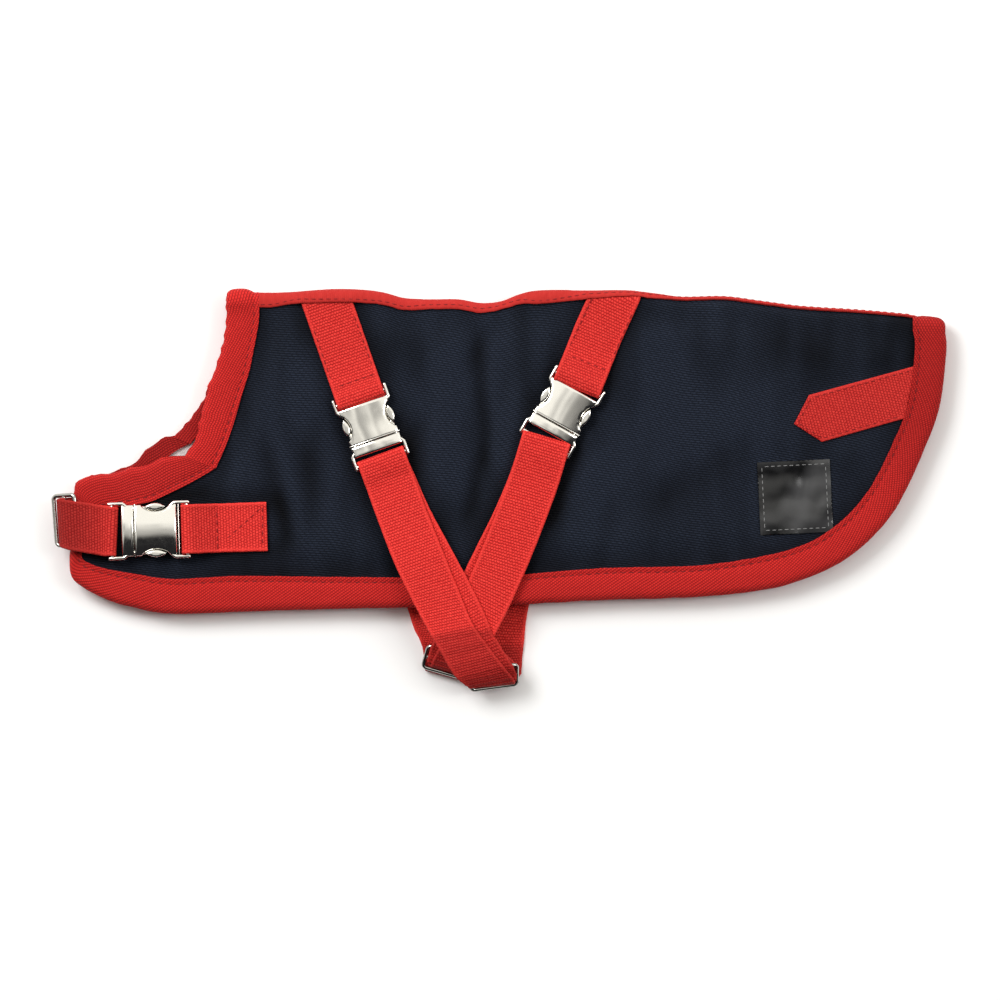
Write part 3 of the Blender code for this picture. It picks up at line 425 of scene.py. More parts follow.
def hermite(a, b, slope_a, slope_b, t):
    """Cubic between a and b with the slopes given per unit of t."""
    t2 = t * t
    t3 = t2 * t
    from_a = a * (2 * t3 - 3 * t2 + 1) + slope_a * (t3 - 2 * t2 + t)
    return from_a + b * (3 * t2 - 2 * t3) + slope_b * (t3 - t2)


def stretches(points):
    """Each stretch of a list: the point before it, its two ends and the point after it."""
    last = len(points) - 1
    for i in range(last):
        yield points[max(i - 1, 0)], points[i], points[i + 1], points[min(i + 2, last)]


def spine(x, column):
    """A column of the crest table at x."""
    x = min(max(x, CREST[0].x), CREST[-1].x)
    at = next(i for i in range(1, len(CREST)) if x <= CREST[i].x)
    rows = CREST[max(at - 2, 0)], CREST[at - 1], CREST[at], CREST[min(at + 1, len(CREST) - 1)]
    before, a, b, after = (getattr(row, column) for row in rows)
    span = rows[2].x - rows[1].x
    slope_a = (b - before) / (rows[2].x - rows[0].x) * span
    slope_b = (after - a) / (rows[3].x - rows[1].x) * span
    return hermite(a, b, slope_a, slope_b, (x - rows[1].x) / span)


def bend_line(x):
    """Where the flat coat starts to bend over the spine."""
    return spine(x, "y") - TAPE_OUT


def tape_edge(x):
    """How far past the bend line the near edge of the spine tape lies."""
    seen = spine(x, "tape")
    if seen >= TAPE_OUT:
        return TAPE_OUT - seen
    return FOLD_RADIUS * math.asin((TAPE_OUT - seen) / TAPE_OUT)


def drape(x, past, height, side):
    """A point at x that lies past the bend line, at a height from the middle of the fold."""
    base = bend_line(x)
    if past <= 0:
        return Vector((x, base + past, MIDDLE + side * height))
    if past < 2 * QUARTER:
        angle = past / FOLD_RADIUS
        return Vector((x, base + height * math.sin(angle), MIDDLE + side * height * math.cos(angle)))
    return Vector((x, base - (past - 2 * QUARTER), MIDDLE - side * height))


def flat(x, y):
    """How far a flat point lies past the bend line."""
    return y - bend_line(x)


def far_edge(row):
    """The same section of the far half, where it lies."""
    out_x = row.outer_x + (row.inner_x - row.outer_x) * FAR_INSET
    out_y = row.outer_y + (row.inner_y - row.outer_y) * FAR_INSET
    share = bell(math.dist((row.outer_x, row.outer_y), FAR_SHIFT_FROM), FAR_SHIFT_REACH)
    dx, dy = FAR_SHIFT[0] * share, FAR_SHIFT[1] * share
    return BoundEdge(row.place, out_x + dx, out_y + dy, row.inner_x + dx, row.inner_y + dy)


def edge_rows(table, side):
    """The table for one side, carried on to the crest of the spine."""
    rows = list(table) if side > 0 else [far_edge(row) for row in table]
    last = rows[-1]
    for past in (0.0, 1.2, 2.4, 3.6, SPINE_SEAM):
        outer_y = bend_line(last.outer_x) + past
        inner_y = bend_line(last.inner_x) + past
        rows.append(BoundEdge("crest", last.outer_x, outer_y, last.inner_x, inner_y))
    return rows


def dense(rows, step):
    """Points along the rows, outer and inner, through a smooth curve."""
    found = []
    for before, a, b, after in stretches([tuple(row[1:]) for row in rows]):
        count = max(1, round(math.hypot(b[0] - a[0], b[1] - a[1]) / step))
        slopes = [((b[j] - before[j]) / 2, (after[j] - a[j]) / 2) for j in range(4)]
        for k in range(count):
            found.append(tuple(hermite(a[j], b[j], *slopes[j], k / count) for j in range(4)))
    return found + [tuple(rows[-1][1:])]


EDGES = {
    (name, side): dense(edge_rows(table, side), 2.2)
    for name, table in (("hem", HEM), ("neck", NECK))
    for side in (1, -1)
}


def tape_point(row, inward):
    """The flat point of a section of bound edge that lies so far inward from its outer fold."""
    out_x, out_y, in_x, in_y = row
    share = inward / math.dist(row[:2], row[2:])
    return out_x + (in_x - out_x) * share, out_y + (in_y - out_y) * share


def edge_distance(x, y):
    """How far a flat point lies from the near bound edges."""
    points = EDGES["hem", 1] + EDGES["neck", 1]
    return math.sqrt(min((x - p[0]) ** 2 + (y - p[1]) ** 2 for p in points))


def route_distance(x, y, route):
    """How far a flat point lies from a strap's route."""
    best = math.inf
    for a, b in zip(route, route[1:]):
        dx, dy = b[0] - a[0], b[1] - a[1]
        t = clamp(((x - a[0]) * dx + (y - a[1]) * dy) / (dx * dx + dy * dy))
        best = min(best, math.hypot(x - a[0] - t * dx, y - a[1] - t * dy))
    return best


NEAR_ROUTES = (
    (ANCHOR_A, BUCKLE_A, *((row.x, row.y) for row in ROUTE_A)),
    (ANCHOR_B, BUCKLE_B, *((row.x, row.y) for row in ROUTE_B)),
    (CHEST_SLIDER, CHEST_ANCHOR_END),
)
SEWN_ROUTES = ((ANCHOR_A, BUCKLE_A), (ANCHOR_B, BUCKLE_B), (CHEST_BUCKLE, CHEST_ANCHOR_END))
TAB_ROUTE = ((158.0, 35.8), (206.0, 48.5))


def near_strap(x, y):
    """1 under a sewn strap or buckle, 0 well away from them all."""
    return fade(min(route_distance(x, y, route) for route in SEWN_ROUTES), WEB_WIDTH / 2, 9)


def label_share(x, y):
    """1 under the label, 0 well away from it."""
    return fade(math.dist((x, y), LABEL_CENTRE), LABEL_SIZE * 0.6, 10)


def tab_share(x, y):
    """1 under the tail tab, 0 well away from it."""
    return fade(route_distance(x, y, TAB_ROUTE), WEB_WIDTH / 2 + 1, 9)


def folds(x, y, side):
    """How high the folds stand at a flat point."""
    total = 0.0
    for fold in FOLDS:
        slant = math.radians(fold.slant * side)
        dx, dy = x - fold.x, y - fold.y
        along = dx * math.cos(slant) + dy * math.sin(slant)
        across = dy * math.cos(slant) - dx * math.sin(slant)
        wander = 2.0 * uneven(along / 22, fold.x, 0)
        end = fade(abs(along), fold.length * 0.22, fold.length * 0.28)
        total += fold.height * end * bell(across + wander, fold.width)
    return total


def relief(x, y, side):
    """The shell's puff inside its bound edge, its folds, and its small unevenness."""
    from_edge = edge_distance(x, y)
    height = 0.85 * smooth((from_edge - PUFF_START) / 14) + folds(x, y, side)
    height += 0.16 * uneven(x / 16, y / 16, 7 * side) + 0.25 * uneven(x / 38, y / 27, 3 * side)
    open_cloth = smooth((from_edge - 19) / 10) * smooth((-flat(x, y) - 5) / 12)
    if side > 0:
        open_cloth *= (1 - label_share(x, y)) * (1 - tab_share(x, y)) * (1 - near_strap(x, y))
    return height * open_cloth


def painted_shade_and_mottle(x, y, side):
    """Painted shade and light, with random mottling, on the shell: 0 in a hollow, 1 on a rise, and darker
    beside the near straps, just inside the bound edge and towards the rear top.
    """
    value = 0.77 + 0.30 * uneven(x / 24, y / 30, 11 * side) + 0.26 * uneven(x / 8, y / 26, 5)
    # Painted shade towards the rear top, and painted shade and light on the folds' troughs and ridges.
    value -= 0.35 * smooth((x - 105) / 60) * smooth((y - 35) / 35)
    value += 0.7 * folds(x, y, side)
    # Painted shade beside the near straps, then just inside the bound edge.
    if side > 0:
        away = min(route_distance(x, y, route) for route in NEAR_ROUTES) - WEB_WIDTH / 2
        value -= 0.5 * bell(away, 7)
    return clamp(value - 0.35 * bell(edge_distance(x, y) - PUFF_START, 6))


# ---------------------------------------------------------------- materials


class Tree:
    """A node tree under construction."""

    def __init__(self, tree):
        self.tree = tree

    def node(self, kind, **values):
        """A node with its properties set."""
        made = self.tree.nodes.new(kind)
        for key, value in values.items():
            setattr(made, key, value)
        return made

    def link(self, source, target):
        """Join a socket or set a value."""
        if isinstance(source, bpy.types.NodeSocket):
            self.tree.links.new(source, target)
        else:
            target.default_value = source

    def math(self, operation, a, b=0.0, c=0.0):
        """A math node."""
        made = self.node("ShaderNodeMath", operation=operation)
        for value, target in zip((a, b, c), made.inputs):
            self.link(value, target)
        return made.outputs[0]

    def noise(self, scale, detail=2.0, place=None):
        """Noise over a vector, or over the object."""
        made = self.node("ShaderNodeTexNoise")
        made.inputs["Scale"].default_value = scale
        made.inputs["Detail"].default_value = detail
        if place is None:
            place = self.node("ShaderNodeTexCoord").outputs["Object"]
        self.link(place, made.inputs["Vector"])
        return made.outputs[0]

    def split(self, vector):
        """The three parts of a vector."""
        parts = self.node("ShaderNodeSeparateXYZ")
        self.link(vector, parts.inputs[0])
        return parts.outputs


class Look(Tree):
    """A material under construction."""

    def __init__(self, name):
        self.material = bpy.data.materials.new(name)
        self.material.use_nodes = True
        super().__init__(self.material.node_tree)
        self.shader = self.tree.nodes["Principled BSDF"]

    def mix(self, factor, a, b):
        """Blend two colours."""
        made = self.node("ShaderNodeMix", data_type="RGBA")
        self.link(factor, made.inputs[0])
        for value, target in ((a, made.inputs[6]), (b, made.inputs[7])):
            self.link(value if isinstance(value, bpy.types.NodeSocket) else (*value, 1.0), target)
        return made.outputs[2]

    def cloth(self):
        """The cloth map in millimetres, whole and as its two coordinates."""
        spot = self.node("ShaderNodeUVMap", uv_map="cloth").outputs[0]
        return spot, *self.split(spot)[:2]

    def turn(self, u, v, degrees):
        """The coordinates turned."""
        c, s = math.cos(math.radians(degrees)), math.sin(math.radians(degrees))
        a = self.math("ADD", self.math("MULTIPLY", u, c), self.math("MULTIPLY", v, s))
        b = self.math("SUBTRACT", self.math("MULTIPLY", v, c), self.math("MULTIPLY", u, s))
        return a, b

    def grains(self, u, v, pitch_u, pitch_v, stagger, depth):
        """Staggered long grains: 1 on top of a grain, 0 between them."""
        a = self.math("DIVIDE", u, pitch_u)
        b = self.math("DIVIDE", v, pitch_v)
        b = self.math("ADD", b, self.math("MULTIPLY", self.math("FLOOR", a), stagger))
        across = self.math("PINGPONG", a, 0.5)
        along = self.math("PINGPONG", b, 0.5)
        across = self.math("SMOOTH_MIN", self.math("MULTIPLY", across, 3.2), 1.0, 0.5)
        along = self.math("SMOOTH_MIN", self.math("MULTIPLY", along, 4.5), 1.0, 0.5)
        along = self.math("MULTIPLY_ADD", along, depth, 1 - depth)
        return self.math("MULTIPLY", across, along)

    def bump(self, height, strength, distance):
        """Raise the surface by a height."""
        made = self.node("ShaderNodeBump")
        made.inputs["Strength"].default_value = strength
        made.inputs["Distance"].default_value = distance * MM
        self.link(height, made.inputs["Height"])
        self.link(made.outputs[0], self.shader.inputs["Normal"])

    def set(self, **values):
        """Set the shader's own sockets."""
        for key, value in values.items():
            self.shader.inputs[key.replace("_", " ")].default_value = value

    def paint(self, color):
        """Give the shader its colour."""
        self.link(color, self.shader.inputs["Base Color"])

    def dye(self, weave, dark, light, painted_shade_color, scales, spot):
        """Colour a weave: dark between its grains, light on top, and blended towards a painted shade colour
        where the vertices' painted shade layer is low, as in hollows.
        """
        broad, fine = self.noise(scales[0], 2.0, spot), self.noise(scales[1], 3.0, spot)
        cloth = self.mix(weave, self.mix(broad, *dark), self.mix(fine, *light))
        # Painted shade and light, read from the vertices.
        painted_lit_share = self.node("ShaderNodeAttribute", attribute_name="painted_shade_and_mottle").outputs["Fac"]
        self.paint(self.mix(painted_lit_share, painted_shade_color, cloth))


# The painted shade colour that the red cloth is blended towards in its shaded places.
RED_PAINTED_SHADE = (0.03, 0.001, 0.0014)


def dimmed(colors, bright):
    """Colours made darker by one factor."""
    return [[part * bright for part in color] for color in colors]


def shell_look():
    """Navy woven cloth, fine staggered dashes in slightly slanting rows."""
    look = Look("navy_shell")
    spot, u, v = look.cloth()
    sway = look.math("MULTIPLY", look.noise(0.02, 1.0, spot), 5.0)
    a, b = look.turn(u, look.math("ADD", v, sway), -7)
    patchy = look.math("MULTIPLY_ADD", look.noise(0.8, 2.0, spot), 1.1, 0.3)
    weave = look.math("MULTIPLY", look.grains(b, a, 1.15, 3.1, stagger=0.37, depth=0.6), patchy)
    dark = (0.0024, 0.0031, 0.0056), (0.0044, 0.0056, 0.0098)
    light = (0.0125, 0.0172, 0.0305), (0.0265, 0.0345, 0.0575)
    # The navy is blended towards a painted shade colour, (0.0008, 0.0010, 0.0022), in its shaded places.
    look.dye(weave, dark, light, (0.0008, 0.0010, 0.0022), (0.03, 0.55), spot)
    look.set(Roughness=0.62, Specular_IOR_Level=0.07)
    look.bump(weave, 0.6, 0.4)
    return look.material


def tape_look(name, bright, pitch, rise, depth):
    """Red twill tape, with ribs of small grains along its map."""
    look = Look(name)
    spot, u, v = look.cloth()
    weave = look.grains(u, v, *pitch, stagger=0.35, depth=depth)
    dark = (0.25 * bright, 0.006, 0.008), (0.32 * bright, 0.008, 0.010)
    light = (0.58 * bright, 0.017, 0.014), (0.80 * bright, 0.036, 0.029)
    look.dye(weave, dark, light, RED_PAINTED_SHADE, (0.06, 0.6), spot)
    look.set(Roughness=0.75, Specular_IOR_Level=0.1)
    look.bump(weave, rise, 0.35)
    return look.material


def web_look(name, bright):
    """Bright red webbing: rows of grains across the strap, and a smooth selvedge."""
    look = Look(name)
    spot, u, v = look.cloth()
    wander = look.math("MULTIPLY_ADD", look.noise(0.7, 2.0, spot), 1.2, -0.6)
    rows, columns = look.math("ADD", v, wander), look.math("SUBTRACT", u, wander)
    weave = look.grains(rows, columns, 1.45, 1.4, stagger=0.5, depth=0.85)
    past = look.math("SUBTRACT", look.math("ABSOLUTE", u), SELVEDGE)
    rim = look.math("MAXIMUM", look.math("SMOOTH_MIN", past, 1.0, 0.2), 0.0)
    weave = look.math("MAXIMUM", weave, look.math("MULTIPLY", rim, 0.6))
    dark = (0.36 * bright, 0.006, 0.007), (0.46 * bright, 0.009, 0.010)
    light = dimmed(((0.70, 0.027, 0.023), (0.98, 0.075, 0.058)), bright)
    look.dye(weave, dark, light, RED_PAINTED_SHADE, (0.045, 0.5), spot)
    look.set(Roughness=0.65, Specular_IOR_Level=0.1)
    look.bump(weave, 0.7, 0.4)
    return look.material


def lining_look():
    """Pale napped lining."""
    look = Look("pale_lining")
    nap = look.noise(900.0, 4.0)
    fleece = look.mix(look.noise(60.0, 2.0), (0.52, 0.47, 0.47), (0.66, 0.61, 0.61))
    look.paint(look.mix(nap, fleece, (0.74, 0.70, 0.70)))
    look.set(Roughness=0.95, Specular_IOR_Level=0.1, Sheen_Weight=0.4)
    look.bump(nap, 0.8, 0.8)
    return look.material


def thread_look(name, color, tip):
    """Twisted sewing thread."""
    look = Look(name)
    twist = look.noise(1800.0, 1.0)
    look.paint(look.mix(twist, color, tip))
    look.set(Roughness=0.55, Specular_IOR_Level=0.3)
    look.bump(twist, 0.4, 0.15)
    return look.material


def metal_look(name, bright):
    """Polished nickel with fine handling marks."""
    look = Look(name)
    marks = look.noise(420.0, 5.0)
    haze = look.noise(38.0, 1.0)
    look.paint(look.mix(haze, *dimmed(((0.80, 0.775, 0.72), (0.92, 0.90, 0.85)), bright)))
    look.link(look.math("MULTIPLY_ADD", marks, 0.12, 0.05), look.shader.inputs["Roughness"])
    look.set(Metallic=1.0)
    look.bump(haze, 0.5, 1.6)
    return look.material


def label_look():
    """Glossy black patch, softly uneven, with painted highlights in soft patches."""
    look = Look("gloss_patch")
    sway = look.noise(48.0, 1.0)
    fine = look.noise(500.0, 3.0)
    # Painted highlights: soft lighter patches in the base colour.
    painted_highlight = look.math("MULTIPLY_ADD", look.noise(55.0, 1.0), 4.0, -1.6)
    painted_highlight = look.math("MINIMUM", look.math("MAXIMUM", painted_highlight, 0.0), 1.0)
    look.paint(look.mix(painted_highlight, (0.005, 0.005, 0.0055), (0.045, 0.045, 0.047)))
    look.link(look.math("MULTIPLY_ADD", fine, 0.12, 0.14), look.shader.inputs["Roughness"])
    look.set(Specular_IOR_Level=0.5)
    look.bump(sway, 1.0, 6.0)
    return look.material


NAVY = shell_look()
HEM_TAPE = tape_look("hem_tape", 0.92, (1.3, 1.15), 0.8, 0.85)
NECK_TAPE = tape_look("neck_tape", 0.93, (1.35, 1.15), 0.8, 0.75)
SPINE_TAPE = tape_look("spine_tape_red", 0.69, (40.0, 1.0), 0.35, 0.6)
WEBBING = web_look("red_webbing", 0.97)
TAB_WEBBING = web_look("tab_webbing", 0.74)
LINING = lining_look()
RED_THREAD = thread_look("red_thread", (0.15, 0.004, 0.005), (0.28, 0.008, 0.010))
DARK_THREAD = thread_look("dark_thread", (0.09, 0.004, 0.006), (0.16, 0.006, 0.008))
GREY_THREAD = thread_look("grey_thread", (0.10, 0.10, 0.105), (0.34, 0.34, 0.34))
METAL = metal_look("bright_nickel", 1.0)
# The same nickel at half brightness for the wire sliders: painted shade standing in for the dark reflections
# on the thin wires.
WIRE_METAL_PAINTED_DARK = metal_look("wire_nickel_painted_dark", 0.5)
PATCH = label_look()

# ---------------------------------------------------------------- meshes


def add_object(name, data):
    """An object in the scene."""
    made = bpy.data.objects.new(name, data)
    bpy.context.scene.collection.objects.link(made)
    return made


def add_mesh(mesh, name, look):
    """A bmesh as an object of one material."""
    data = bpy.data.meshes.new(name)
    mesh.to_mesh(data)
    mesh.free()
    data.materials.append(look)
    return add_object(name, data)


def finish(mesh, name, look, nodes):
    """Turn a bmesh in millimetres into a piece that stands for its solids."""
    bmesh.ops.recalc_face_normals(mesh, faces=mesh.faces)
    bmesh.ops.scale(mesh, vec=(MM, MM, MM), verts=mesh.verts)
    made = add_mesh(mesh, name, look)
    made.data.shade_smooth()
    made.data.set_sharp_from_angle(angle=math.radians(SHARP_ANGLE))
    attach(made, "root")
    if nodes:
        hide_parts(*nodes)
    return made


def cloth_layers(mesh):
    """The layers that the cloth looks read: the map in millimetres, and each vertex's painted shade and light
    (with random mottling on the shell).
    """
    return mesh.loops.layers.uv.new("cloth"), mesh.verts.layers.float.new("painted_shade_and_mottle")


def map_faces(mesh, layer, places):
    """Give each corner of the faces its vertex's place on the cloth map."""
    for face in mesh.faces:
        for loop in face.loops:
            loop[layer].uv = places[loop.vert]


def skin(mesh, first, second, shift=0):
    """Faces between two rings of vertices."""
    size = len(first)
    for k in range(size):
        n = (k + 1) % size
        mesh.faces.new((first[k], first[n], second[(n + shift) % size], second[(k + shift) % size]))


def slab(mesh, faces, top, bottom):
    """Faces over the top and the bottom vertices, and walls along their open edges."""
    count = {}
    for face in faces:
        mesh.faces.new([top[i] for i in face])
        mesh.faces.new([bottom[i] for i in face][::-1])
        for a, b in zip(face, face[1:] + face[:1]):
            key = (min(a, b), max(a, b))
            count[key] = count.get(key, 0) + 1
    for (a, b), times in count.items():
        if times == 1:
            mesh.faces.new((top[a], top[b], bottom[b], bottom[a]))


def fill_loop(outline, points):
    """Triangles over an outline and the points in it: their corners' places, and their faces."""
    edges = [(i, (i + 1) % len(outline)) for i in range(len(outline))]
    places, _, faces, _, _, _ = delaunay_2d_cdt(outline + points, edges, [], 1, 0.0001)
    return places, faces


def panel_outline(side, step):
    """A panel's outline: along x, and past the bend line."""
    parts = []
    for table in ("hem", "neck"):
        spots = [tape_point(row, PANEL_INSET) for row in EDGES[table, side]]
        parts.append([(x, min(flat(x, y), SPINE_SEAM)) for x, y in spots])
    hem, neck = parts
    rear, front = hem[-1][0], neck[-1][0]
    count = int((rear - front) / step)
    seam = [(rear + (front - rear) * k / count, SPINE_SEAM) for k in range(1, count)]
    return [Vector(p) for p in hem + seam + neck[:0:-1]]


def panel_points(outline, step):
    """Staggered rows of points in a panel, closer together where it bends over the spine."""
    found = []
    low, high = min(p.x for p in outline), max(p.x for p in outline)
    rows = [1.2, 2.4, 3.6]
    past = 0.0
    while past > PANEL_END:
        rows.append(past)
        past -= step
    for i, past in enumerate(rows):
        x = low + (step / 2 if i % 2 else 0.0)
        crossings = []
        for a, b in zip(outline, outline[1:] + outline[:1]):
            if (a.y > past) != (b.y > past):
                crossings.append(a.x + (b.x - a.x) * (past - a.y) / (b.y - a.y))
        while x < high:
            inside = sum(1 for c in crossings if c < x) % 2 == 1
            if inside and min((abs(c - x) for c in crossings), default=0) > step * 0.45:
                point = Vector((x, past))
                if min((point - q).length_squared for q in outline) > (step * 0.4) ** 2:
                    found.append(point)
            x += step
    return found


def panel(name, side, inner, outer, look, step, nodes):
    """A cloth panel over its solid: meshed flat, thickened and draped."""
    outline = panel_outline(side, step)
    verts, faces = fill_loop(outline, panel_points(outline, step))
    mesh = bmesh.new()
    layer, shade = cloth_layers(mesh)
    top, bottom, places = [], [], {}
    for x, past in verts:
        y = bend_line(x) + past
        lift = relief(x, y, side) if outer else 0.0
        # Painted shade and light, with random mottling, on the shell's outer face.
        light = painted_shade_and_mottle(x, y, side) if outer else 1.0
        for row, height in ((top, outer or inner + 0.5), (bottom, inner)):
            vert = mesh.verts.new(drape(x, past, height + lift, side))
            vert[shade] = light
            places[vert] = (x, past)
            row.append(vert)
    slab(mesh, faces, top, bottom)
    map_faces(mesh, layer, places)
    return finish(mesh, name, look, nodes)


def loft(name, rings, chart, painted_shades, look, nodes):
    """A closed section carried along: rings of points, their cloth map, and their painted shade."""
    mesh = bmesh.new()
    layer, shade = cloth_layers(mesh)
    made = [[mesh.verts.new(p) for p in ring] for ring in rings]
    places = {}
    for ring, spots, light in zip(made, chart, painted_shades):
        for k, vert in enumerate(ring):
            places[vert] = spots[k]
            vert[shade] = light[k] if isinstance(light, list) else light
    for first, second in zip(made, made[1:]):
        skin(mesh, first, second)
    map_faces(mesh, layer, places)
    for ring, spots in ((made[0], chart[0]), (made[-1], chart[-1])):
        for k in range(len(ring) // 2 - 1):
            face = mesh.faces.new((ring[k], ring[k + 1], ring[-2 - k], ring[-1 - k]))
            for loop in face.loops:
                loop[layer].uv = spots[k]
    return finish(mesh, name, look, nodes)


def lengths(points):
    """How far along each point lies."""
    found = [0.0]
    for a, b in zip(points, points[1:]):
        found.append(found[-1] + (b - a).length)
    return found


def tape_height(inward, reach, v, side):
    """The outer face of the folded tape: rolled at the edge, ridged at its inner end."""
    height = TAPE_OUT
    if inward < TAPE_ROLL:
        height -= TAPE_ROLL - math.sqrt(max(TAPE_ROLL ** 2 - (TAPE_ROLL - inward) ** 2, 0.0))
    from_end = reach - inward
    pull = 0.75 + 0.25 * math.cos(2 * math.pi * v / STITCH_PITCH)
    height += 0.16 * bell(from_end - 0.8, 0.7) - 0.42 * bell(from_end - SEAM_LINE, 0.8) * pull
    swell = math.sin(math.pi * clamp((inward - 1.0) / max(reach - 4.0, 1)))
    return height + 0.45 * swell * (1 + 0.5 * uneven(v / 11, inward / 9, side))


class Rib(NamedTuple):
    """How far the tape's ribs slant from its length, at a place along it."""

    along: float
    slant: float


HEM_RIBS = (Rib(0, 5), Rib(55, 6), Rib(100, 33), Rib(330, 36), Rib(430, 30), Rib(520, 20), Rib(640, 34))
NECK_RIBS = (Rib(0, 6), Rib(35, 9), Rib(80, 22), Rib(120, 24))


def rib_slant(table, v):
    """The ribs' slant in radians at a place along a tape."""
    rows = HEM_RIBS if table == "hem" else NECK_RIBS
    for a, b in zip(rows, rows[1:]):
        if v <= b.along:
            share = smooth((v - a.along) / (b.along - a.along))
            return math.radians(a.slant + (b.slant - a.slant) * share)
    return math.radians(rows[-1].slant)


def edge_wave(table, side, v):
    """How far the folded edge wanders in or out."""
    start = smooth(v / 6)
    if table == "neck":
        bumps = abs(math.sin(v * 0.47 + side)) - 0.6
        return start * (0.75 * bumps + 0.7 * uneven(v / 7, side * 5, 1))
    front = fade(v, 60, 25)
    bumps = 1.5 * (abs(math.sin(v * 0.21 + 0.5 * side)) - 0.6) * front
    return start * (bumps + (0.3 + 0.5 * front) * uneven(v / 9, side * 5, 1))


def tape_painted_shade(table, v):
    """Painted shade along the hem tape: darker at its start over the chest and towards the tail; the neck
    tape has none.
    """
    if table == "neck":
        return 1.0
    return 0.86 + 0.14 * smooth((v - 70) / 40) - 0.26 * smooth((v - 520) / 70)


def tape_rows(table, side, crest):
    """The sections of one tape, from a start just off the notch to the crest of the spine."""
    rows = list(EDGES[table, side])
    out_x, out_y, in_x, in_y = rows[-1]
    rise = crest - SPINE_SEAM
    rows.append((out_x, out_y + rise, in_x, in_y + rise))
    step_x, step_y = rows[0][3] - rows[0][1], rows[0][2] - rows[0][0]
    gap = -0.15 if side > 0 else -0.5
    scale = gap / math.hypot(step_x, step_y) * (-1 if table == "hem" else 1)
    moved = (-step_x * scale, step_y * scale) * 2
    rows[0] = tuple(value + step for value, step in zip(rows[0], moved))
    return rows


def tape_section(reach, inner_reach, v, side):
    """The folded tape's section: how far inward and how high each point lies, and where its map turns."""
    spots = [reach - back for back in (0, 0.5, 1.2, 2.0, 2.6, 3.4, 4.6)]
    spots += [4.6 + (reach - 9.2) * k / 5 for k in (4, 3, 2, 1, 0)]
    spots += [3.2, 2.2, 1.3, 0.6, 0.2, 0.0]
    outside = [(inward, tape_height(inward, reach, v, side)) for inward in spots]
    inside = [(max(inward, 1.0), min(height - 0.75, TAPE_IN)) for inward, height in outside]
    leg = ((0.0, LEG_IN + 1.0), (0.4, LEG_IN + 0.3), (1.4, LEG_IN), (inner_reach, LEG_IN))
    outside += leg
    inside += [(max(inward, 1.0), LEG_IN + 0.8) for inward, _ in leg]
    return outside + inside[::-1], len(spots)


def binding(name, table, side, look, nodes):
    """Tape folded round the edge, with small waves along it."""
    crest = QUARTER + 0.15 * (side > 0)
    rows = tape_rows(table, side, crest)
    vs = lengths([Vector(row[:2]) for row in rows])
    rings, chart, painted_shades = [], [], []
    ribs_u = ribs_v = before = 0.0
    for row, v in zip(rows, vs):
        reach = math.dist(row[:2], row[2:])
        shift = edge_wave(table, side, v)
        inner_shift = 0.22 * uneven(v / 6, side * 9, 2) * smooth(v / 6)
        slant = rib_slant(table, v)
        c, s = math.cos(slant), math.sin(slant)
        ribs_u += s * (v - before)
        ribs_v += c * (v - before)
        before = v
        inner_reach = reach * (INNER_LEG_SHARE - 0.13 * (side < 0) * fade(v, 10, 20))
        section, turn = tape_section(reach, inner_reach, v, side)
        sink = (0.12 if side > 0 else 0.35) * (table == "neck") * fade(v, 0, 8)
        # Painted shade along the tape, and painted shadow on the far tape towards the throat.
        lit, shadow = tape_painted_shade(table, v), (side < 0) * fade(v, 70, 30)
        ring, light = [], []
        for inward, height in section:
            share = inward / reach
            x, y = tape_point(row, inward + shift * (1 - share) + inner_shift * share)
            past = min(flat(x, y), crest)
            lump = 1.3 * (table == "neck") * smooth((past + 6) / 6) * fade(share, 0.55, 0.4)
            ring.append(drape(x, past, height - sink + lump * (height > TAPE_IN - 1), side))
            light.append(lit * (1 - (0.42 if height < 2 else 0.25 * smooth(1 - inward / 4)) * shadow))
        rings.append(ring)
        painted_shades.append(light)
        us = [inward for inward, _ in section]
        us[turn:-turn] = [-u for u in us[turn:-turn]]
        chart.append([(u * c - ribs_u, u * s + ribs_v) for u in us])
    return loft(name, rings, chart, painted_shades, look, nodes)


def seam_lift(x, past):
    """How far the spine tape is raised over the sewn ends of the near straps."""
    lift = max(fade(abs(x - anchor[0]), WEB_WIDTH / 2 + 0.5, 7) for anchor in (ANCHOR_A, ANCHOR_B))
    return lift * 1.45 * fade(past, 0.4, 4.4)


def spine_stitches():
    """Points along the spine tape, just inside its near edge."""
    first, last = EDGES["neck", 1][-1][2], EDGES["hem", 1][-1][2]
    count = 200
    points = []
    for i in range(count + 1):
        x = first + (last - first) * i / count
        past = tape_edge(x) + 1.5
        points.append(drape(x, past, TAPE_OUT + 0.3 + seam_lift(x, past), 1))
    return points


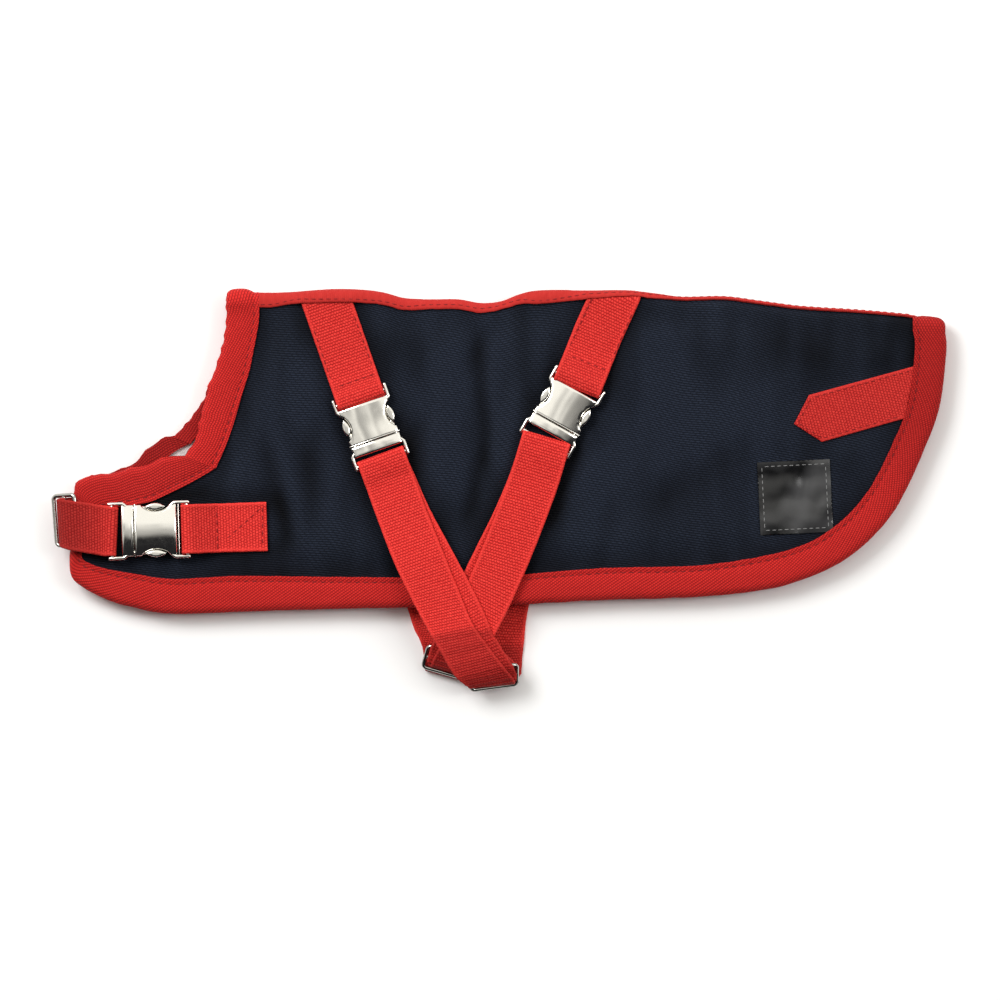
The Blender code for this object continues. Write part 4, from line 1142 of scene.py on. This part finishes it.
def spine_tape():
    """The tape over the spine seam, rolled towards the far side."""
    first = EDGES["neck", 1][-1][2] - 1.0
    last = EDGES["hem", 1][-1][2] + 1.0
    count = 150
    rings, xs = [], []
    for i in range(count + 1):
        x = first + (last - first) * i / count
        start = tape_edge(x) + 0.25 * uneven(x / 4, 0, 0)
        turns = [start + (2 * QUARTER - start) * k / 12 for k in range(13)]
        places = (start, start + 0.5, *turns[1:], 2 * QUARTER + 6, 2 * QUARTER + 14, start + TAPE_WIDTH)
        ends = smooth((x - first) / 4) * smooth((last - x) / 4)
        outside, inside = [], []
        for k, past in enumerate(places):
            stand = seam_lift(x, past) + 0.3 * uneven(x / 14, past / 12, 4) * fade(past, 0.4, 4.4)
            stand += 0.25 * ends * (1 if past < QUARTER else 0.4) - 0.3 * (k == 0)
            outside.append(drape(x, past, TAPE_OUT + stand, 1))
            inside.append(drape(x, past, TAPE_OUT - 0.75 + min(stand, 0.9), 1))
        rings.append(outside + inside[::-1])
        xs.append(x)
    us = [past + 20 for past in places + places[::-1]]
    chart = [[(u, x) for u in us] for x in xs]
    # Painted shade along the tape's near edge and on its underside there.
    painted_shades = [[1.0 if 0 < k < 30 else 0.75 for k in range(len(us))]] * len(rings)
    return loft("spine_tape_cloth", rings, chart, painted_shades, SPINE_TAPE, ["spine_tape"])


# ---------------------------------------------------------------- straps


class Step(NamedTuple):
    """A step of a web's path: its middle, the way across it and its width."""

    centre: Vector
    across: Vector
    width: float


class Fastening(NamedTuple):
    """A buckle: its centre, the way its strap runs on, how long it is, its bars and its sewn fold."""

    place: str
    centre: Vector
    ahead: Vector
    stretch: float
    socket_bar: float
    plug_bar: float
    fold: float

    def bar(self, along):
        """The middle of a bar that lies so far along an unstretched buckle."""
        return self.centre + self.ahead * (along * self.stretch)


HALF_SECTION = (
    (-1.0, 0.15), (-0.985, 0.5), (-0.955, 0.76), (-0.92, 0.84), (-0.885, 0.72), (-0.6, 0.76), (-0.3, 0.79)
)
SECTION = (*HALF_SECTION, (0.0, 0.8), *((-a, b) for a, b in HALF_SECTION[::-1]))


def section_points():
    """The web's section, over its top and back under it: across, as a share, and up in millimetres."""
    return [*SECTION, *((a, -b) for a, b in SECTION[::-1])]


def web_painted_shade(p):
    """Painted shade on a web: darker on the sewn folds, towards the sliders, at the chest and a little
    towards the spine.
    """
    value = 1.0 - 0.06 * smooth((p.y - 50) / 20)
    for fastening in FASTENINGS.values():
        bar = fastening.bar(-fastening.socket_bar)
        before = (bar - p).dot(fastening.ahead)
        if (bar - p).length < 22 and p.z > SEWN_WEB:
            value -= 0.13 * smooth(before / 2) * fade(before, fastening.fold, 1.5)
    if p.x < CHEST_WEBS:
        return value - 0.16 - 0.42 * smooth((-188 - p.x) / 26)
    line = -67.5 if p.z > 16 else -77
    return value - 0.36 * smooth((line - p.y) / 2.5) - 0.1 * smooth((-84 - p.y) / 10)


def curve_points(points, step):
    """Points every step along a smooth curve through vectors."""
    found = []
    for before, a, b, after in stretches(points):
        count = max(1, round((b - a).length / step))
        found += [hermite(a, b, (b - before) / 2, (after - a) / 2, k / count) for k in range(count)]
    return found + [points[-1]]


def even_curve(points, count):
    """A fixed number of points along a smooth curve, the same share of each stretch."""
    found = []
    per = count // (len(points) - 1)
    for before, a, b, after in stretches(points):
        slopes = (b - before) / 2, (after - a) / 2
        slopes = [slope * min((b - a).length / max(slope.length, 1e-9), 1.0) for slope in slopes]
        found += [hermite(a, b, *slopes, k / per) for k in range(per)]
    return found + [points[-1]]


def arc(centre, start, turn, radius, first, second, count=6):
    """Points round a bar, in the plane of two directions, from start through turn degrees."""
    points = []
    for k in range(count + 1):
        angle = math.radians(start + turn * k / count)
        points.append(centre + first * (radius * math.cos(angle)) + second * (radius * math.sin(angle)))
    return points


def plan(a, b):
    """The direction from one plan point to another."""
    return Vector((b[0] - a[0], b[1] - a[1], 0)).normalized()


def stub(start, buckle):
    """The sewn end of a belly strap, cut along the spine and bent a little over it."""
    ahead = plan(start, buckle)
    across = ahead.cross(UP)

    def reach(base, past):
        t = 0.0
        for _ in range(8):
            p = base + ahead * t
            t += (flat(p.x, p.y) - past) / -ahead.y
        return t

    rings, vs = [], []
    origin = Vector((*start, 0))
    for past in (1.9, 1.0, 0.0, -1.2, -2.6, -4.5, -7.0, -10.0, -13.0):
        blend = smooth(-past / 13)
        middle = reach(origin, past)
        ring, row = [], []
        for a, b in section_points():
            base = origin + across * (a * WEB_WIDTH / 2)
            t = reach(base, past) * (1 - blend) + middle * blend
            p = base + ahead * t
            ring.append(drape(p.x, flat(p.x, p.y), SEWN_WEB - MIDDLE + b * 0.9, 1))
            row.append(t)
        rings.append(ring)
        vs.append(row)
    return rings, vs, origin + ahead * (middle + 3.0)


def web(name, path, nodes, seed, head=None):
    """Webbing along a path, slightly uneven, rippled near its slider."""
    section = section_points()
    rings, vs = [], []
    for i, (step, v) in enumerate(zip(path, lengths([step.centre for step in path]))):
        way = path[min(i + 1, len(path) - 1)].centre - path[max(i - 1, 0)].centre
        across = step.across.normalized()
        out = across.cross(way).normalized()
        half = step.width / 2 + 0.14 * uneven(v / 3, seed, 0)
        ripple = 0.28 * math.sin(v * 1.9) * smooth((-67 - step.centre.y) / 6)
        ring = [step.centre + out * (ripple + b) + across * (a * half) for a, b in section]
        for point in ring:
            point.z = max(point.z, 0.02)
        rings.append(ring)
        vs.append([v] * len(ring))
    if head:
        rings = head[0] + rings
        last = sum(head[1][-1]) / len(head[1][-1]) + 3.0
        vs = head[1] + [[last + v for v in row] for row in vs]
    chart = [[(a * WEB_WIDTH / 2, v) for (a, _), v in zip(section, row)] for row in vs]
    # Painted shade along each web, one value per ring.
    painted_shades = [web_painted_shade(ring[0]) for ring in rings]
    return loft(name, rings, chart, painted_shades, WEBBING, nodes)


def anchor_path(start, height, fastening):
    """A web sewn down at its start, then round the buckle's bar and back under."""
    bar = fastening.bar(-fastening.socket_bar)
    begin = Vector((start[0], start[1], height))
    ahead = plan(begin, bar)
    rise, fold = (bar - begin).dot(ahead), fastening.fold
    straight = [
        begin,
        begin + ahead * (rise - fold - 10),
        begin + ahead * (rise - fold - 4) + UP * 0.35,
        begin + ahead * (rise - fold) + UP * 0.8,
        begin + ahead * (rise - fold + 3) + UP * (WEB + GAP + 0.15),
        bar + UP * (LOOP - 0.1) - ahead * 3,
    ]
    route = curve_points(straight, 1.4)
    route += arc(bar, 90, -180, LOOP, ahead, UP, 10)
    route += [bar - ahead * back - UP * LOOP for back in (3, 6, 9, 12)]
    return [Step(p, ahead.cross(UP), WEB_WIDTH) for p in route]


def fold_line(start, fastening, height):
    """The stitches across an anchor where its fold is sewn down."""
    bar = fastening.bar(-fastening.socket_bar)
    ahead = plan(start, bar)
    middle = bar - ahead * fastening.fold
    side = ahead.cross(UP) * 11
    return line_between((middle - side)[:2], (middle + side)[:2], height)


def turned(route, way, along, fitting):
    """A route's steps, square to it in plan, and along the bars and squeezed at the slider."""
    found = []
    for i, point in enumerate(route):
        ahead = route[min(i + 1, len(route) - 1)] - route[max(i - 1, 0)]
        square = facing(Vector((ahead.x, ahead.y, 0)).normalized().cross(UP), way)
        share = fade((point - fitting).length, 6, 24)
        across = square * (1 - share) + along * share
        found.append(Step(point, across, WEB_WIDTH + (SQUEEZED_WEB - WEB_WIDTH) * share))
    return found


def front_steps(bar, ahead, across, front, front_rows):
    """The adjuster's front web, from the buckle's bar down to its slider, edge by edge."""
    lengthwise = abs(ahead.x) > 0.8
    top = max(front_rows[0].left_y, front_rows[0].right_y)
    middles = [bar + ahead * (1 if lengthwise else 6) + UP * (LOOP - 0.1)]
    middles += [r for r in front if r.y > top + 8 or lengthwise and r.x > front_rows[0].left_x + 8]
    lefts = [Vector((r.left_x, r.left_y, r.z)) for r in front_rows]
    rights = [Vector((r.right_x, r.right_y, r.z)) for r in front_rows]
    if (rights[0] - lefts[0]).dot(across) < 0:
        lefts, rights = rights, lefts
    lefts = [p - across * (WEB_WIDTH / 2) for p in middles] + lefts
    rights = [p + across * (WEB_WIDTH / 2) for p in middles] + rights
    pairs = zip(even_curve(lefts, FRONT_STEPS), even_curve(rights, FRONT_STEPS))
    return [Step((a + b) / 2, (b - a).normalized(), (b - a).length) for a, b in pairs]


def adjuster_path(fastening, stations, front_rows, fitting, tail, far_stations, shifts):
    """A strap's adjuster web: slider, buckle, slider, then along the far side."""
    bar = fastening.bar(fastening.plug_bar)
    ahead = plan(bar, stations[0])
    across = ahead.cross(UP)
    up = facing(fitting.along.cross(fitting.across), UP)
    along = facing(fitting.along, across)
    loop = WIRE / 2 + GAP + WEB / 2
    middle_bar = fitting.bar + fitting.across * SLIDER_PITCH
    inner_bar = middle_bar + fitting.across * SLIDER_PITCH

    def squeezed(points):
        return [Step(p, along, SQUEEZED_WEB) for p in points]

    path = []
    for row in tail:
        turn = math.radians(row.turn)
        way = facing(Vector((math.cos(turn), math.sin(turn), 0)), along)
        path.append(Step(Vector(row[:3]), way, SQUEEZED_WEB))
    path += squeezed(arc(middle_bar, 50, 220, loop, fitting.across, up, 16))
    front = [Vector(row) for row in stations]
    back = [p - UP * LAYER_STEP - across * shift for p, shift in zip(front, shifts)]
    under = inner_bar - up * loop
    route = curve_points([under, *back[::-1], bar + ahead * 7 - UP * LOOP], WEB_STEP)
    path += turned(route, across, along, under)
    path += [Step(p, across, WEB_WIDTH) for p in arc(bar, -90, -180, LOOP, ahead, UP, 12)]
    path += front_steps(bar, ahead, across, front, front_rows)
    if fitting.bar.z - loop - WEB < LOW_SLIDER:
        drop = math.degrees(math.asin(fitting.across.z))
        path += squeezed(arc(fitting.bar, -25, -65 - drop, loop, fitting.across, up, 6))
        turn = (path[-1].centre.z - FAR_WEB) / 2
        outward = -Vector((fitting.across.x, fitting.across.y, 0)).normalized()
        path += squeezed(arc(path[-1].centre - UP * turn, 60, -150, turn, outward, UP, 8))
    far = [Vector(row) for row in far_stations]
    route = curve_points([path[-1].centre, *far], WEB_STEP * 2)[1:]
    for step in turned(route, along, along, path[-1].centre):
        level = Vector(step.across)
        level.z *= clamp((step.centre.z - FAR_WEB) / 8)
        path.append(Step(step.centre, level, step.width))
    return path


# ---------------------------------------------------------------- stitches


def circle(mesh, centre, side, up, radius, sides):
    """A ring of vertices round a rod."""
    ring = []
    for k in range(sides):
        angle = 2 * math.pi * k / sides
        spot = centre + side * (radius * math.cos(angle))
        ring.append(mesh.verts.new(spot + up * (radius * math.sin(angle))))
    return ring


def rod(mesh, rings, closed=False):
    """Faces along rings of vertices, and over both ends or on to the first ring."""
    for first, second in zip(rings, rings[1:]):
        skin(mesh, first, second)
    if closed:
        near = min(range(len(rings[0])), key=lambda k: (rings[-1][0].co - rings[0][k].co).length)
        skin(mesh, rings[-1], rings[0], near)
    else:
        mesh.faces.new(rings[0][::-1])
        mesh.faces.new(rings[-1])


def capsule(mesh, a, b, radius, rise):
    """One stitch from a to b: a low rounded bar."""
    way = (b - a).normalized()
    side = way.cross(UP).normalized()
    up = side.cross(way).normalized()
    rings = []
    for share, wide in ((0.0, 0.25), (0.12, 0.75), (0.35, 1.0), (0.65, 1.0), (0.88, 0.75), (1.0, 0.25)):
        centre = a.lerp(b, share) + up * (rise * math.sin(math.pi * share))
        rings.append(circle(mesh, centre, side, up, radius * wide, 6))
    rod(mesh, rings)


def stitches(mesh, points, length, gap, radius):
    """A row of stitches along points."""
    along = lengths(points)
    place = gap / 2

    def at(distance):
        for k in range(1, len(along)):
            if distance <= along[k]:
                t = (distance - along[k - 1]) / max(along[k] - along[k - 1], 1e-6)
                return points[k - 1].lerp(points[k], t)
        return points[-1]

    while place + length < along[-1]:
        capsule(mesh, at(place), at(place + length), radius, 0.05)
        place += length + gap


def seam_points(table, side):
    """Points along the seam on the tape's outer face."""
    rows = EDGES[table, side]
    points = []
    for row, v in zip(rows, lengths([Vector(row[:2]) for row in rows])):
        reach = math.dist(row[:2], row[2:])
        x, y = tape_point(row, reach - SEAM_LINE)
        height = tape_height(reach - SEAM_LINE, reach, v, side) + 0.02
        points.append(drape(x, min(flat(x, y), SPINE_SEAM), height, side))
    return points


def rows_of(name, lines, look, length, gap, radius):
    """Rows of stitches as one piece."""
    mesh = bmesh.new()
    for line in lines:
        stitches(mesh, line, length, gap, radius)
    return finish(mesh, name, look, [])


def line_between(a, b, z, step=2.0):
    """Points on a straight line at one height."""
    a, b = Vector((*a, z)), Vector((*b, z))
    count = max(2, int((b - a).length / step))
    return [a.lerp(b, k / count) for k in range(count + 1)]


# ---------------------------------------------------------------- metal


def pillow(mesh, outline, place, half_height, rim, crown=0.0, step=1.0):
    """A cast plate: a plan outline with rounded rims and a crowned top."""
    outline = [Vector(p) for p in outline]
    fine = []
    for a, b in zip(outline, outline[1:] + outline[:1]):
        count = max(1, round((b - a).length / step))
        fine += [a.lerp(b, k / count) for k in range(count)]
    ring = list(zip(fine, fine[1:] + fine[:1]))
    hand = 1 if sum(a.x * b.y - b.x * a.y for a, b in ring) > 0 else -1

    def clear(q):
        return min((q - r).length for r in fine)

    points = []
    for inset in (0.25, 0.6, 1.0):
        for i, p in enumerate(fine):
            tangent = (fine[(i + 1) % len(fine)] - fine[i - 1]).normalized()
            q = p + Vector((-tangent.y, tangent.x)) * hand * inset * rim
            if inset <= rim * 1.2 and clear(q) > inset * rim * 0.8:
                points.append(q)
    low_x, high_x = min(p.x for p in fine), max(p.x for p in fine)
    low_y, high_y = min(p.y for p in fine), max(p.y for p in fine)
    y = low_y + step / 2
    while y < high_y:
        x = low_x + step / 2
        while x < high_x:
            q = Vector((x, y))
            if within(q, ring) and clear(q) > rim * 1.3:
                points.append(q)
            x += step
        y += step
    spots, faces = fill_loop(fine, points)
    half = max(abs(low_y), abs(high_y))
    rows = []
    for sign in (1, -1):
        row = []
        for q in spots:
            t = min(min(distance_to_line(q, a, b) for a, b in ring) / rim, 1.0)
            edge = math.sqrt(max(1 - (1 - t) ** 2, 0.0))
            arch = crown * (q.y / half) ** 2 if sign > 0 else 0.0
            row.append(mesh.verts.new(place(q.x, q.y, sign * (half_height - rim + rim * edge - arch))))
        rows.append(row)
    slab(mesh, faces, *rows)


def within(q, ring):
    """Whether a plan point lies in a loop of edges."""
    inside = False
    for a, b in ring:
        if (a.y > q.y) != (b.y > q.y) and q.x < a.x + (b.x - a.x) * (q.y - a.y) / (b.y - a.y):
            inside = not inside
    return inside


def distance_to_line(q, a, b):
    """How far a plan point lies from a stretch of line."""
    way = b - a
    t = clamp((q - a).dot(way) / max(way.length_squared, 1e-9))
    return (q - a - way * t).length


def tube(mesh, points, radius, closed=False):
    """A round rod along points, with rounded ends, or a closed ring of it."""
    sections = []
    size = len(points)
    side = None
    for i, p in enumerate(points):
        ahead = points[(i + 1) % size] if closed else points[min(i + 1, size - 1)]
        behind = points[i - 1] if closed else points[max(i - 1, 0)]
        way = (ahead - behind).normalized()
        side = way.orthogonal() if side is None else side - way * side.dot(way)
        side = side.normalized()
        sections.append((p, side, way, radius))

    def cap(section, hand, turns):
        p, side, way, _ = section
        return [(p + way * (hand * radius * math.cos(t)), side, way, radius * math.sin(t)) for t in turns]

    if not closed:
        turns = (0.35, 0.8, 1.2)
        sections = cap(sections[0], -1, turns) + sections + cap(sections[-1], 1, turns[::-1])
    rod(mesh, [circle(mesh, p, side, way.cross(side), r, 12) for p, side, way, r in sections], closed)


def scoop_outline():
    """The socket's outline, with a scoop in each side."""
    half = BODY_WIDTH / 2
    middle = (BODY_BACK + SEAM) / 2
    corners = []
    for hand in (1, -1):
        end, begin = (BODY_BACK, SEAM) if hand > 0 else (SEAM, BODY_BACK)
        corners.append((end, hand * half))
        for k in range(15):
            angle = math.pi * (1 - k / 14)
            x = middle + hand * WINDOW_LENGTH / 2 * math.cos(angle)
            corners.append((x, hand * (half - WINDOW_DEPTH * math.sin(angle) ** 1.3)))
        corners.append((begin, hand * half))
    return corners


def lobe_outline(hand):
    """A prong's end as it shows in the scoop: an almond."""
    middle = (BODY_BACK + SEAM) / 2
    points = []
    for side in (1, -1):
        for k in range(10):
            share = (1 - 2 * k / 10) * side
            points.append((middle + 4.7 * share, hand * 11.7 + side * 1.9 * (1 - share * share)))
    return points


def buckle(fastening):
    """Both halves of a fastened side-release buckle."""
    where, centre, ahead, stretch = fastening[:4]
    across = UP.cross(ahead)
    half = BODY_WIDTH / 2
    deep = BODY_HEIGHT / 2
    open_end = fastening.socket_bar > 16

    def place(x, y, z):
        return centre + ahead * (x * stretch) + across * y + UP * z

    def hardware(mesh, side, offset):
        for hand in (-1, 1):
            y = hand * (EAR_SPAN - EAR) / 2
            ear = ((9.6, hand * (half - 1.2)), (10.8, hand * 12.9), (11.6, y), (13, y), (EAR_END - 1.0, y))
            tube(mesh, [place(side * x, w, 0.3) for x, w in ear], 0.98)
        tube(mesh, [place(side * offset, y, 0) for y in (-13.2, -9, -4, 0, 4, 9, 13.2)], BAR / 2 - 0.05)

    mesh = bmesh.new()
    pillow(mesh, scoop_outline(), place, deep, rim=0.9, crown=SOCKET_CROWN)
    shares = [k / 5 for k in range(-5, 6)]
    lip = [place(SEAM - 0.35, half * share, deep - 0.3 - SOCKET_CROWN * share ** 2) for share in shares]
    tube(mesh, lip, 0.38)
    hardware(mesh, -1, fastening.socket_bar)
    if open_end:
        tube(mesh, [place(-13.3, y, 0.6) for y in (-13, -9, -4, 0, 4, 9, 13)], 0.25)
    finish(mesh, "socket_" + where, METAL, ["buckle_socket_" + where])
    mesh = bmesh.new()
    start = SEAM + GAP
    plate = ((start, -half), (PLATE_END, -half), (PLATE_END, half), (start, half))
    pillow(mesh, plate, place, deep - 0.2, rim=0.8, crown=1.6)
    for hand in (-1, 1):
        pillow(mesh, lobe_outline(hand), place, 2.2, rim=0.9, step=0.7)
        tube(mesh, [place(x, hand * 11.0, 0) for x in (SEAM + 1.5, SEAM - 2, SEAM - 6)], 1.1)
    hardware(mesh, 1, fastening.plug_bar)
    finish(mesh, "plug_" + where, METAL, ["buckle_plug_" + where])


def slider_frame(fitting, length):
    """A wire frame with a middle bar."""
    half = (length - WIRE) / 2
    depth = 2 * SLIDER_PITCH

    def place(x, y):
        return fitting.bar + fitting.along * x + fitting.across * y

    points = []
    for x, y, start in ((half, depth, 0), (-half, depth, 90), (-half, 0, 180), (half, 0, 270)):
        middle_x = x - math.copysign(SLIDER_CORNER, x)
        middle_y = depth - SLIDER_CORNER if y else SLIDER_CORNER
        for k in range(7):
            angle = math.radians(start + 15 * k)
            along, over = SLIDER_CORNER * math.cos(angle), SLIDER_CORNER * math.sin(angle)
            points.append(place(middle_x + along, middle_y + over))
    mesh = bmesh.new()
    tube(mesh, points, WIRE / 2, True)
    tube(mesh, [place(half * k / 4, SLIDER_PITCH) for k in range(-4, 5)], WIRE / 2 - 0.05)
    finish(mesh, "wire_slider_" + fitting.place, WIRE_METAL_PAINTED_DARK, ["slider_" + fitting.place])


def turned_corners(centre, size, degrees):
    """A turned square's corners."""
    turn = math.radians(degrees)
    half = size / 2
    corners = []
    for a, b in ((-half, -half), (half, -half), (half, half), (-half, half)):
        x = centre[0] + a * math.cos(turn) - b * math.sin(turn)
        corners.append((x, centre[1] + a * math.sin(turn) + b * math.cos(turn)))
    return corners


def inset_corners(corners, inset):
    """A polygon's corners moved inward."""
    corners = [Vector(c) for c in corners]
    middle = sum(corners, Vector((0, 0))) / len(corners)
    found = []
    for i, c in enumerate(corners):
        sides = c - corners[i - 1], corners[(i + 1) % len(corners)] - c
        first, second = (facing(Vector((-s.y, s.x)).normalized(), middle - c) for s in sides)
        found.append(c + (first + second) / (1 + first.dot(second)) * inset)
    return found


def patch(name, outline, thick, rim, look, node, turn):
    """A flat patch on the shell, with rounded rims."""
    mesh = bmesh.new()
    corners = [Vector(p) for p in outline]
    middle = sum(corners, Vector((0, 0))) / len(corners)
    half = thick / 2
    way = Vector((math.cos(turn), math.sin(turn)))
    side = Vector((-way.y, way.x))

    def place(x, y, z):
        spot = middle + way * x + side * y
        lift = 0.12 * uneven(spot.x / 9, spot.y / 9, 5)
        return Vector((spot.x, spot.y, SHELL_TOP + half + z + lift))

    local = [((p - middle).dot(way), (p - middle).dot(side)) for p in corners]
    pillow(mesh, local, place, half, rim, step=2.0)
    layer, shade = cloth_layers(mesh)
    places = {}
    for vert in mesh.verts:
        vert[shade] = 1.0
        spot = Vector(vert.co[:2]) - middle
        places[vert] = (spot.dot(side), spot.dot(way))
    map_faces(mesh, layer, places)
    return finish(mesh, name, look, [node])


# ---------------------------------------------------------------- the coat

HALVES = (("near", 1), ("far", -1))
for kind, inner, outer, look, steps in (
    ("shell", SHELL_OUT - 0.8, SHELL_OUT - 0.05, NAVY, (3.2, 5.0)),
    ("lining", LINING_IN + 0.2, None, LINING, (8.0, 8.0)),
):
    for (half, side), step in zip(HALVES, steps):
        node = kind + "_" + half
        panel(node + "_cloth", side, inner, outer, look, step, [node])
for table, look in (("hem", HEM_TAPE), ("neck", NECK_TAPE)):
    for half, side in HALVES:
        node = table + "_binding_" + half
        binding(table + "_tape_" + half, table, side, look, [node])
spine_tape()

AHEAD_A = plan(ANCHOR_A, BUCKLE_A)
AHEAD_B = plan((0.488, 0.873), (0, 0))
AHEAD_CHEST = plan(CHEST_ANCHOR_END, CHEST_BUCKLE)
FASTENINGS = {
    "a": Fastening("a", Vector((*BUCKLE_A, BELLY_BUCKLE_Z)), AHEAD_A, 1.02, 15.1, 16.6, 9.0),
    "b": Fastening("b", Vector((*BUCKLE_B, BELLY_BUCKLE_Z)), AHEAD_B, 1.04, 15.1, 16.6, 12.0),
    "chest": Fastening("chest", Vector((*CHEST_BUCKLE, CHEST_BUCKLE_Z)), AHEAD_CHEST, 1.12, 16.9, 16.7, 15.0),
}
STUBS = {"a": stub(ANCHOR_A, BUCKLE_A), "b": stub(ANCHOR_B, BUCKLE_B)}
ADJUSTERS = {
    "a": (ROUTE_A, FRONT_A, SLIDER_A, TAIL_A, FAR_ROUTE_A, SHIFT_A),
    "b": (ROUTE_B, FRONT_B, SLIDER_B, TAIL_B, FAR_ROUTE_B, SHIFT_B),
    "chest": (ROUTE_CHEST, FRONT_CHEST, SLIDER_CHEST, (), FAR_ROUTE_CHEST, (0, 0)),
}
straps = []
for place, fastening in FASTENINGS.items():
    head = STUBS.get(place)
    start = head[2] if head else CHEST_ANCHOR_END
    straps.append(("anchor_" + place, anchor_path(start, SEWN_WEB, fastening), head))
for place, fastening in FASTENINGS.items():
    straps.append(("adjuster_" + place, adjuster_path(fastening, *ADJUSTERS[place]), None))
for number, (name, path, head) in enumerate(straps):
    made = web(name + "_web", path, ["strap_" + name], number * 3.7, head)

for fitting, length in ((SLIDER_A, 25.6), (SLIDER_B, SLIDER_LENGTH), (SLIDER_CHEST, SLIDER_LENGTH)):
    slider_frame(fitting, length)
for fastening in FASTENINGS.values():
    buckle(fastening)

square = turned_corners(LABEL_CENTRE, LABEL_SIZE, LABEL_TURN)
label = patch("bare_patch", square, 1.0, 0.4, PATCH, "label_patch", 0.0)
tab_corners = (TAB_TIP, TAB_LOWER, TAB_END_LOWER, TAB_END_UPPER, TAB_UPPER)
tab_turn = math.atan2(TAB_END_LOWER[1] - TAB_LOWER[1], TAB_END_LOWER[0] - TAB_LOWER[0])
tab = patch("tail_tab_web", tab_corners, 1.15, 0.5, TAB_WEBBING, "tail_tab", tab_turn)

# Stitching
for half, side in HALVES:
    for table in ("hem", "neck"):
        line = seam_points(table, side)
        rows_of(table + "_stitches_" + half, [line], DARK_THREAD, length=2.7, gap=1.6, radius=0.24)
rows_of("spine_stitches", [spine_stitches()], RED_THREAD, length=2.2, gap=1.5, radius=0.2)

inner_square = inset_corners(square, 2.3)
label_lines = [
    line_between(a, b, SHELL_TOP + 1.02) for a, b in zip(inner_square, inner_square[1:] + inner_square[:1])
]
rows_of("patch_stitches", label_lines, GREY_THREAD, length=2.0, gap=1.1, radius=0.2)
inner_tab = inset_corners(tab_corners, 1.7)
tab_lines = [
    line_between(inner_tab[a], inner_tab[b], SHELL_TOP + 1.22) for a, b in ((1, 2), (0, 1), (4, 0), (3, 4))
]
rows_of("tab_stitches", tab_lines, RED_THREAD, length=2.2, gap=1.4, radius=0.2)

ON_WEB = SEWN_WEB + WEB / 2
chest_lines = [
    line_between((-118.25, -8.0), (-118.25, -30.0), ON_WEB + 0.03),
    line_between((-119.0, -9.0), (-140.0, -28.0), ON_WEB + 0.03),
    fold_line(CHEST_ANCHOR_END, FASTENINGS["chest"], SEWN_WEB + WEB + 0.12),
]
rows_of("chest_stitches", chest_lines, RED_THREAD, length=2.4, gap=1.5, radius=0.24)
belly_lines = []
for place, anchor in (("a", ANCHOR_A), ("b", ANCHOR_B)):
    line = fold_line(STUBS[place][2], FASTENINGS[place], SEWN_WEB + WEB + 0.12)
    belly_lines.append(line)
    ahead = plan(anchor, FASTENINGS[place].centre)
    for end, hand in ((line[0], 1), (line[-1], -1)):
        upper = end - ahead * 34 + ahead.cross(UP) * (0.4 * hand)
        belly_lines.append(line_between(end[:2], upper[:2], ON_WEB + 0.06))
rows_of("belly_stitches", belly_lines, RED_THREAD, length=2.4, gap=1.5, radius=0.24)

# ---------------------------------------------------------------- the room

ground = Look("pale_floor")
ground.paint(ground.mix(ground.noise(3.0), (0.93, 0.93, 0.93), (0.96, 0.96, 0.96)))
ground.set(Roughness=0.8, Specular_IOR_Level=0.2)
mesh = bmesh.new()
bmesh.ops.create_grid(mesh, x_segments=2, y_segments=2, size=3.0)
add_mesh(mesh, "floor", ground.material)

for name, spot, size, power in (
    ("key", (-1.1, 1.0, 1.5), (0.9, 0.9), 30),
    ("fill", (1.5, 0.2, 1.5), (0.5, 1.2), 12),
):
    data = bpy.data.lights.new(name, "AREA")
    data.shape = "RECTANGLE"
    data.size, data.size_y = size
    data.energy = power
    lamp = add_object(name, data)
    lamp.location = spot
    lamp.rotation_euler = (-Vector(spot)).to_track_quat("-Z", "Y").to_euler()

# A studio for the metal to reflect: bright towards the spine, dark towards the belly, in soft patches
world = bpy.data.worlds.new("studio")
bpy.context.scene.world = world
world.use_nodes = True
sky = Tree(world.node_tree)
way = sky.node("ShaderNodeTexCoord").outputs["Generated"]
slope = sky.math("MULTIPLY_ADD", sky.split(way)[1], 0.9, sky.noise(3.2, 1.5, way))
ramp = sky.node("ShaderNodeValToRGB")
stops = (
    (0.30, (0.02, 0.02, 0.022, 1)),
    (0.38, (0.25, 0.245, 0.235, 1)),
    (0.50, (0.62, 0.61, 0.58, 1)),
    (0.62, (1.25, 1.23, 1.16, 1)),
)
while len(ramp.color_ramp.elements) < len(stops):
    ramp.color_ramp.elements.new(0.9)
for element, (position, color) in zip(ramp.color_ramp.elements, stops):
    element.position = position
    element.color = color
background = world.node_tree.nodes["Background"]
sky.link(slope, ramp.inputs[0])
sky.link(ramp.outputs[0], background.inputs[0])
background.inputs[1].default_value = 0.9
bpy.context.scene.view_settings.view_transform = "Standard"

camera_data = bpy.data.cameras.new("camera")
camera_data.lens = 200
camera_data.sensor_width = 36
camera_data.clip_end = 20
camera = add_object("camera", camera_data)
# The picture is 0.5 m wide at the height of the webs
camera.location = (0.0005, -0.005, 0.0125 + 0.5 * camera_data.lens / camera_data.sensor_width)
bpy.context.scene.camera = camera
